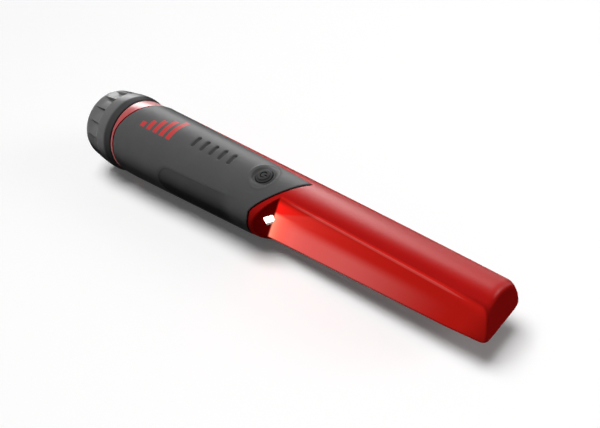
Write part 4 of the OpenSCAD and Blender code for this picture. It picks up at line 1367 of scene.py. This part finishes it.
@dataclass
class Grip(SubAssembly):
    """Rubber grip with its dish, slots, finger pad and flat belly."""

    SLOT, NODE = "grip_rubber", "grip_sleeve"

    form: HandleForm
    gap: float = 0.15
    back_gap: float = 0.05
    round_over: float = 0.5
    thickness: float = 1.0
    top_facing: float = 0.5
    side_facing: float = -0.3
    dish_depth: float = 0.95
    dish_in: float = 4.9
    dish_out: float = 6.5
    lip: float = 0.22
    lip_out: float = 0.4
    lip_w: float = 0.5
    slots: int = 5
    slot_x: float = 76.0
    slot_pitch: float = 6.0
    slot_half: float = 2.1
    slot_r: float = 1.05
    slot_edge: float = 0.2
    slot_depth: float = 0.9
    pad_x: float = 60.0
    pad_end: float = 117.5
    pad_fade: float = 16.0
    pad_top: float = 10.2
    pad_low: float = -7.0
    pad_edge: Span = (0.45, -0.25)
    pad_depth: float = 0.5
    belly_w: float = 6.5
    belly_h: float = 1.08
    belly_splay: float = 0.6
    belly_drop: float = Datum.LIFT
    belly_x0: float = BAND_X + 1.0
    belly_x1: float = 124.0
    belly_edge: float = 0.8
    belly_blend: float = 0.4
    button_floor: float = 13.5
    row_spans: tuple[tuple[float, float, int], ...] = (
        (0.006, 0.40, 36), (0.40, 0.70, 86), (0.70, 0.77, 9), (0.77, 0.986, 66))
    back_rows: tuple[float, ...] = (0.0, 0.04, 0.12, 0.24, 0.4)
    front_rows: tuple[float, ...] = (1.3, 1.0, 0.75, 0.55, 0.38, 0.24, 0.12, 0.04, 0.0)

    def skin(self, x: Array, angle: Array) -> Array:
        """Distance of the grip's outside from the axis, with its reliefs.

        Args:
            x: Stations.
            angle: Angles from the top.

        Returns:
            The distances in mm.
        """
        radius = self.with_belly(x, angle, self.form.grip_r(x))
        y, z = radius * np.sin(angle), radius * np.cos(angle)
        top = np.cos(angle) > self.top_facing
        reach = np.hypot(x - BUTTON_X, y)
        into = np.where(top, soft_step(self.dish_out, self.dish_in, reach), 0.0)
        level = float(self.form.grip_r(np.array(BUTTON_X))) - self.dish_depth
        floor = level / np.maximum(np.cos(angle), self.top_facing)
        lip = np.where(top, self.lip * np.exp(-((reach - self.dish_out - self.lip_out) / self.lip_w) ** 2), 0.0)
        radius = radius * (1 - into) + np.minimum(floor, radius) * into + lip
        for i in range(self.slots):
            off = np.hypot(x - self.slot_x - i * self.slot_pitch, np.maximum(np.abs(y) - self.slot_half, 0.0))
            sunk = soft_step(self.slot_r + self.slot_edge, self.slot_r - self.slot_edge, off)
            radius = radius - np.where(top, self.slot_depth * sunk, 0.0)
        half = (self.pad_top - self.pad_low) / 2
        bulge = np.minimum(x - self.pad_x - half, 0.0)
        inside = np.hypot(bulge, z - self.pad_low - half) - half
        fade = soft_step(self.pad_end, self.pad_end - self.pad_fade, x)
        pad = self.pad_depth * fade * soft_step(*self.pad_edge, inside)
        return radius - np.where(np.sin(angle) < self.side_facing, pad, 0.0)

    def with_belly(self, x: Array, angle: Array, radius: Array) -> Array:
        """Adds the flat belly with its sloping sides and ends to the round grip.

        Args:
            x: Stations.
            angle: Angles from the top.
            radius: Distances of the round grip from the axis.

        Returns:
            The distances with the belly.
        """
        down, side = np.maximum(-np.cos(angle), 0.05), np.abs(np.sin(angle))
        side_h, splay = self.belly_w * self.belly_h, self.belly_w * self.belly_splay
        ramp = np.maximum(x - (self.belly_x1 - 2 * side_h), 0.0) / 2
        lead = np.maximum(self.belly_x0 + splay / 2 - x, 0.0) / 2
        base = (self.belly_drop - ramp - lead) / down
        foot = (self.belly_w * side_h + self.belly_drop * splay) / np.maximum(side * side_h + down * splay, 0.05)
        belly = soft_min(base, foot, self.belly_edge)
        held = (x > self.belly_x0) & (x < self.belly_x1) & (np.cos(angle) < self.side_facing)
        return np.where(held, soft_max(radius, belly, self.belly_blend), radius)

    def model(self) -> bpy.types.Object:
        """Models the grip as a rounded sheet of rubber with the button's hole in it.

        Returns:
            The piece, in its place.
        """
        form = self.form
        t = form.columns()
        back, front = form.ends(t)
        back, front = back + self.back_gap, front - self.gap
        share = np.concatenate([np.linspace(a, b, n, endpoint=False) for a, b, n in self.row_spans])[:, None]
        first, last = (np.array(rows)[:, None] for rows in (self.back_rows, self.front_rows))
        x = np.concatenate([back + first, back + share * (front - back), front - last])
        angle = form.turn(t[None, :], x)
        edge = form.side_angle(x)
        from_side = np.minimum(edge - angle, angle + math.pi + edge) * form.grip_r(x)
        from_end = np.minimum(front - x, x - back)
        free = self.round_over - np.minimum(np.minimum(from_side, from_end), self.round_over)
        rounding = self.round_over - np.sqrt(np.maximum(self.round_over ** 2 - free ** 2, 0.0))
        piece = Bench.sheet("grip_shell", x, angle, self.skin(x, angle) - rounding, closed=False)
        Bench.modify(piece, "SOLIDIFY", thickness=self.thickness / 1000, offset=-1.0)
        Bench.cut(piece, PowerButton.well(self.button_floor))
        return Bench.finish(piece, 40)


@dataclass
class CollarRing(SubAssembly):
    """Red ring between the grip and the cap, wider towards the plain side, with its sleeve.

    The sleeve is plain. The thread inside it is in the CAD node alone.
    """

    SLOT, NODE = "red_collar", "collar_ring"

    form: HandleForm
    back_x: float = Datum.ends("collar_ring")[0]
    sleeve_x: float = Datum.ends("collar_ring")[1]
    radius: float = 18.6
    edge: float = 0.35
    front_edge: float = 0.06
    gap: float = 1.1
    reveal: float = 0.6
    widest: float = 35.6
    widest_blend: float = 0.4
    seat_r: float = 17.6
    sleeve_r: float = 16.7
    bore_r: float = 15.65
    lead_in: float = 0.6
    sides: int = 240

    def model(self) -> bpy.types.Object:
        """Models the ring as a closed profile whose front follows the grip's back edge.

        Returns:
            The piece, in its place.
        """
        angle = np.linspace(0, 2 * math.pi, self.sides, endpoint=False)
        edge_x = self.form.rear_x(self.radius * np.sin(angle))
        front = soft_min(edge_x, np.full_like(angle, self.widest), self.widest_blend) - self.gap
        shown_x, seat_x = self.back_x + self.reveal, self.form.seat_x
        bend = [(shown_x + self.edge * (1 - math.sin(a)), self.radius - self.edge * (1 - math.cos(a)))
                for a in np.radians([90, 68, 45, 22, 0])]
        face = [(front - self.front_edge, self.radius), (front, self.radius - self.front_edge), (front, self.seat_r)]
        land = [(seat_x, self.seat_r), (seat_x, self.sleeve_r), (self.sleeve_x, self.sleeve_r),
                (self.sleeve_x, self.bore_r), (self.back_x + self.lead_in, self.bore_r),
                (self.back_x, self.bore_r + self.lead_in), bend[0]]
        x, radius = (np.stack([part + 0 * angle for part in side]) for side in zip(*(bend + face + land)))
        piece = Bench.sheet("collar_band", x, angle + 0 * x, radius, closed=True)
        Bench.outwards(piece)
        return Bench.finish(piece, 40)


@dataclass
class ScrewCap(SubAssembly):
    """Screw cap with finger ribs round its back half and a smooth band in front of them.

    Its spigot is plain. The thread on it is in the CAD node alone.
    """

    BODY, SLOT, NODE = Body.CAP, "cap_plastic", "battery_cap"

    ribs: int = 16
    rib_step: float = 1.5
    rib_turn: float = 0.19
    rib_crest: float = 0.94
    rib_back: float = 2.6
    rib_full: float = 7.5
    rib_front: float = 11.9
    rib_end: float = 12.9
    rib_columns: tuple[float, ...] = (0.0, 0.08, 0.2, 0.34, 0.48, 0.62, 0.75, 0.86, 0.91, rib_crest, 0.97)
    spigot_r: float = 14.0
    profile: tuple[Span, ...] = (
        (0.7, 1.0), (0.7, 9.6), (0.64, 10.0), (0.3, 10.35), (0.06, 10.6), (0.0, 11.0), (0.0, 14.2), (0.0, 15.6),
        (0.1, 16.2), (0.35, 16.75), (0.8, 17.3), (1.4, 17.7), (2.0, 17.95), (2.6, 18.1), (3.6, 18.24), (4.8, 18.41),
        (6.0, 18.58), (7.2, 18.75), (8.4, 18.92), (9.2, 19.03), (10.0, 19.14), (10.8, 19.24), (11.4, 19.32),
        (11.9, 19.39), (12.15, 19.42), (12.4, 19.45), (12.65, 19.48), (12.9, 19.51), (13.6, 19.6), (15.0, 19.71),
        (16.2, 19.76), (17.2, 19.78), (19.3, 19.78), (19.6, 19.76), (19.85, 19.69), (20.1, 19.6), (22.2, 18.98),
        (22.45, 18.87), (22.66, 18.7), (22.77, 18.5), (22.8, 18.3), (22.8, 14.35), (23.5, 14.35), (23.5, 13.25),
        (25.8, 13.25), (25.8, 14.35), (33.3, 14.35), (33.8, 13.85), (33.8, 12.35), (6.0, 12.35), (6.0, 6.0),
        (32.4, 6.0), (32.5, 5.0))

    def rib_cut(self, x: Array, share: Array) -> Array:
        """Depth of the finger ribs: a facet that deepens round the cap and ends in a step.

        Args:
            x: Stations.
            share: Share of the way across each rib.

        Returns:
            The depth in mm.
        """
        run = np.clip((x - self.rib_back) / (self.rib_full - self.rib_back), 0.0, 1.0)
        facet = np.where(share > self.rib_crest, (1 - share) / (1 - self.rib_crest), share / self.rib_crest)
        return self.rib_step * run * soft_step(self.rib_end, self.rib_front, x) * facet

    def model(self) -> bpy.types.Object:
        """Models the cap as a turned profile with its ribs cut in.

        Returns:
            The piece, in its place.
        """
        share = np.array(self.rib_columns)
        turns = (np.arange(self.ribs)[:, None] + share + self.rib_turn).ravel() / self.ribs
        x, radius = (np.array(side)[:, None] + 0 * turns for side in zip(*self.profile))
        radius = radius - np.where(radius > self.spigot_r, self.rib_cut(x, np.tile(share, self.ribs)), 0.0)
        piece = Bench.sheet("cap_shell", x, turns * 2 * math.pi + 0 * x, radius, closed=True)
        Bench.fill_openings(piece, inset=2e-4)
        return Bench.finish(piece, 30)


@dataclass
class PowerButton(SubAssembly):
    """Round stepped button with a sunk ring-and-bar mark."""

    BODY, SLOT, NODE = Body.BUTTON, "button_plastic", "power_button"
    WELL: ClassVar[Span] = (4.15, 20.0)

    radius: float = 3.85
    top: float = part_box("power_button")[1].z * 1000 - Datum.LIFT
    foot: float = 13.7
    foot_in: float = 0.6
    middle_r: float = 0.4
    rim: tuple[Span, ...] = (
        (0.95, 0.0), (0.8, 0.06), (0.7, 0.2), (0.66, 0.4), (0.64, 0.66), (0.6, 0.76), (0.5, 0.82), (0.22, 0.9),
        (0.08, 0.98), (0.01, 1.14), (0.0, 1.35))
    mark_r: float = 1.75
    mark_w: float = 0.55
    mark_gap: float = 0.95
    mark_depth: float = 0.32
    mark_over: float = 0.6
    gap_reach: float = 0.8
    bar_place: float = 0.85
    bar_half: float = 0.55

    @classmethod
    def well(cls, floor: float) -> bpy.types.Object:
        """A round cutter for the button's hole, down to a height above the axis."""
        radius, high = cls.WELL
        return Bench.turned("button_well", ((floor, radius), (high, radius)), 64, Axis.UP, (BUTTON_X, 0.0, 0.0))

    def mark(self) -> bpy.types.Object:
        """Models the mark's cutter: a ring that is open towards the tip, and a bar in the opening.

        Returns:
            The cutter.
        """
        low, high = self.top - self.mark_depth, self.top + self.mark_over
        outer, inner, reach = self.mark_r, self.mark_r - self.mark_w, self.mark_r * self.gap_reach
        ring = Bench.turned("mark_ring", ((low, outer), (high, outer), (high, inner), (low, inner)), 64, Axis.UP,
                            (BUTTON_X, 0.0, 0.0), ring=True)
        Bench.cut(ring, self.block("mark_gap", BUTTON_X + reach, reach, self.mark_gap, low - 1, high + 1))
        bar_x, half = BUTTON_X + outer * self.bar_place, outer * self.bar_half
        bar = self.block("mark_bar", bar_x, half, self.mark_w / 2, low, high)
        Bench.modify(ring, "BOOLEAN", operation="UNION", solver="EXACT", object=bar)
        bpy.data.objects.remove(bar)
        return ring

    @staticmethod
    def block(name: str, x: float, half_x: float, half_y: float, low: float, high: float) -> bpy.types.Object:
        """A straight-sided cutter on the middle plane.

        Args:
            name: Name of the cutter.
            x: Station of its middle.
            half_x: Half of its length.
            half_y: Half of its width.
            low: Height of its foot.
            high: Height of its top.

        Returns:
            The cutter.
        """
        Bench.clear()
        bpy.ops.mesh.primitive_cube_add(size=1, location=Datum.point(x, 0, (low + high) / 2),
                                        scale=(half_x / 500, half_y / 500, (high - low) / 1000))
        return Bench.placed(name)

    def model(self) -> bpy.types.Object:
        """Models the button as a turned profile with the mark cut in.

        Returns:
            The piece, in its place.
        """
        steps = ((self.foot, self.radius - self.foot_in), (self.foot, self.radius),
                 *((self.top - drop, self.radius - inset) for drop, inset in self.rim), (self.top, self.middle_r))
        piece = Bench.turned("button_cap", steps, 96, Axis.UP, (BUTTON_X, 0.0, 0.0))
        Bench.cut(piece, self.mark())
        return Bench.finish(piece, 32)


@dataclass
class Lamp(SubAssembly):
    """Lit window of the lamp in the scoop's back wall."""

    SLOT, NODE = "clear_window", "led_window"

    width: float = 4.0
    height: float = 5.6
    raised: float = 0.3
    aside: float = 0.7
    proud: float = 0.4
    deep: float = 2.8
    edge: float = 0.15

    def model(self) -> bpy.types.Object:
        """Models the window as a block with rounded edges, square to the wall.

        Returns:
            The piece, in its place.
        """
        centre = Vector(LAMP_SPOT) - WALL_OUT * ((self.deep - self.proud) / 2) \
            + SCOOP_TURN.to_matrix() @ Vector((self.aside, 0, self.raised))
        Bench.clear()
        bpy.ops.mesh.primitive_cube_add(size=1, location=Datum.point(*centre), rotation=SCOOP_TURN,
                                        scale=(self.width / 1000, (self.deep + self.proud) / 1000, self.height / 1000))
        piece = Bench.placed("lamp_window")
        Bench.modify(piece, "BEVEL", width=self.edge / 1000, segments=3, limit_method="ANGLE")
        return Bench.finish(piece, 40)


@dataclass(frozen=True)
class Panel:
    """A soft light panel."""

    name: str
    place: Place
    size: Span
    watts: float
    shows: Shows

    def add(self, aim: Place) -> None:
        """Adds the panel to the scene, facing a place.

        Args:
            aim: The place, in metres.
        """
        data = bpy.data.lights.new(self.name, "AREA")
        data.shape = "RECTANGLE"
        data.size, data.size_y = self.size
        data.energy = self.watts
        lamp = bpy.data.objects.new(self.name, data)
        bpy.context.scene.collection.objects.link(lamp)
        lamp.visible_diffuse = self.shows is not Shows.MIRRORED
        lamp.visible_glossy = self.shows is not Shows.SHADING
        lamp.location = self.place
        lamp.rotation_mode = "QUATERNION"
        lamp.rotation_quaternion = (Vector(aim) - Vector(self.place)).to_track_quat("-Z", "Y")


@dataclass
class Studio:
    """Pale floor, soft light and the camera."""

    PANELS: ClassVar[tuple[Panel, ...]] = (
        Panel("overhead", (-0.02, 0.05, 1.9), (1.05, 0.85), 31.5, Shows.SHADING),
        Panel("tall_strip", (-0.94, 1.29, 0.85), (0.34, 1.5), 8.5, Shows.MIRRORED),
        Panel("rear", (-1.3, 1.0, 0.35), (0.7, 0.5), 7.0, Shows.MIRRORED),
        Panel("front", (1.2, 0.7, 0.6), (0.6, 0.5), 4.0, Shows.BOTH))

    eye: Place = (0.23217, -0.14228, 0.26481)
    azimuth: float = 56.35
    elevation: float = 43.54
    roll: float = -19.6
    lens: float = 50.0
    sensor: float = 36.0
    clip: Span = (0.01, 30.0)
    aim: Place = (0.0, 0.0, 0.02)
    floor_side: float = 6.0
    floor_drop: float = 0.0003
    white: Colour = (0.98, 0.98, 0.98)
    bounce: Colour = (0.18, 0.18, 0.18)
    lift: float = 0.05
    lift_far: Span = (0.3, 1.6)
    surround: float = 0.09

    def floor(self) -> bpy.types.Object:
        """Adds the floor, white to the camera and with the object's shadow on it.

        Returns:
            The floor.
        """
        Bench.clear()
        bpy.ops.mesh.primitive_plane_add(size=self.floor_side, location=(0, 0, -self.floor_drop))
        piece = Bench.placed("floor")
        recipe = Recipe("pale_floor")
        seen = recipe.seen()
        x, y, _ = recipe.axes()
        far = ((x * x + y * y) ** 0.5).rise(*self.lift_far)
        matt = recipe.add("ShaderNodeBsdfDiffuse", inputs={"Color": recipe.mix(seen, self.bounce, self.white)})
        lift = recipe.add("ShaderNodeEmission", inputs={"Color": (1, 1, 1, 1),
                                                        "Strength": seen * (self.lift + far * (1 - self.lift))})
        recipe.end(recipe.add("ShaderNodeAddShader", inputs={0: matt, 1: lift}))
        piece.data.materials.append(recipe.material)
        return piece

    def world(self) -> None:
        """Sets a plain surround, white where it is seen or mirrored."""
        recipe = Recipe("surround", bpy.data.worlds)
        level = self.surround + recipe.seen() * (1 - self.surround)
        recipe.end(recipe.add("ShaderNodeBackground", inputs={"Color": (1, 1, 1, 1), "Strength": level}))
        bpy.context.scene.world = recipe.material

    def camera(self) -> None:
        """Adds the camera at the photograph's viewing angle."""
        data = bpy.data.cameras.new("eye")
        data.lens = self.lens
        data.sensor_width = self.sensor
        data.sensor_fit = "HORIZONTAL"
        data.clip_start, data.clip_end = self.clip
        eye = bpy.data.objects.new("eye", data)
        bpy.context.scene.collection.objects.link(eye)
        a, e, r = (math.radians(v) for v in (self.azimuth, self.elevation, self.roll))
        back = Vector((math.sin(a) * math.cos(e), -math.cos(a) * math.cos(e), math.sin(e)))
        right = Vector((math.cos(a), math.sin(a), 0))
        up = back.cross(right)
        turned_right = right * math.cos(r) + up * math.sin(r)
        turned_up = up * math.cos(r) - right * math.sin(r)
        eye.matrix_world = Matrix.Translation(self.eye) @ Matrix((turned_right, turned_up, back)).transposed().to_4x4()
        bpy.context.scene.camera = eye

    def build(self) -> None:
        """Sets up the floor, the light and the camera."""
        self.floor()
        self.world()
        for panel in self.PANELS:
            panel.add(self.aim)
        self.camera()
        bpy.context.scene.view_settings.view_transform = "Standard"


def main() -> None:
    """Builds the pieces in order and dresses the CAD nodes."""
    logging.basicConfig(level=logging.INFO, format="%(name)s %(message)s")
    finishes = Finishes()
    finishes.dress_nodes(frame["record"], frame["nodes"])
    form = HandleForm()
    for piece in (RedHousing(form), Grip(form), CollarRing(form), ScrewCap(), PowerButton(), Lamp()):
        piece.build(finishes)
    Studio().build()


if __name__ == "__main__":
    main()
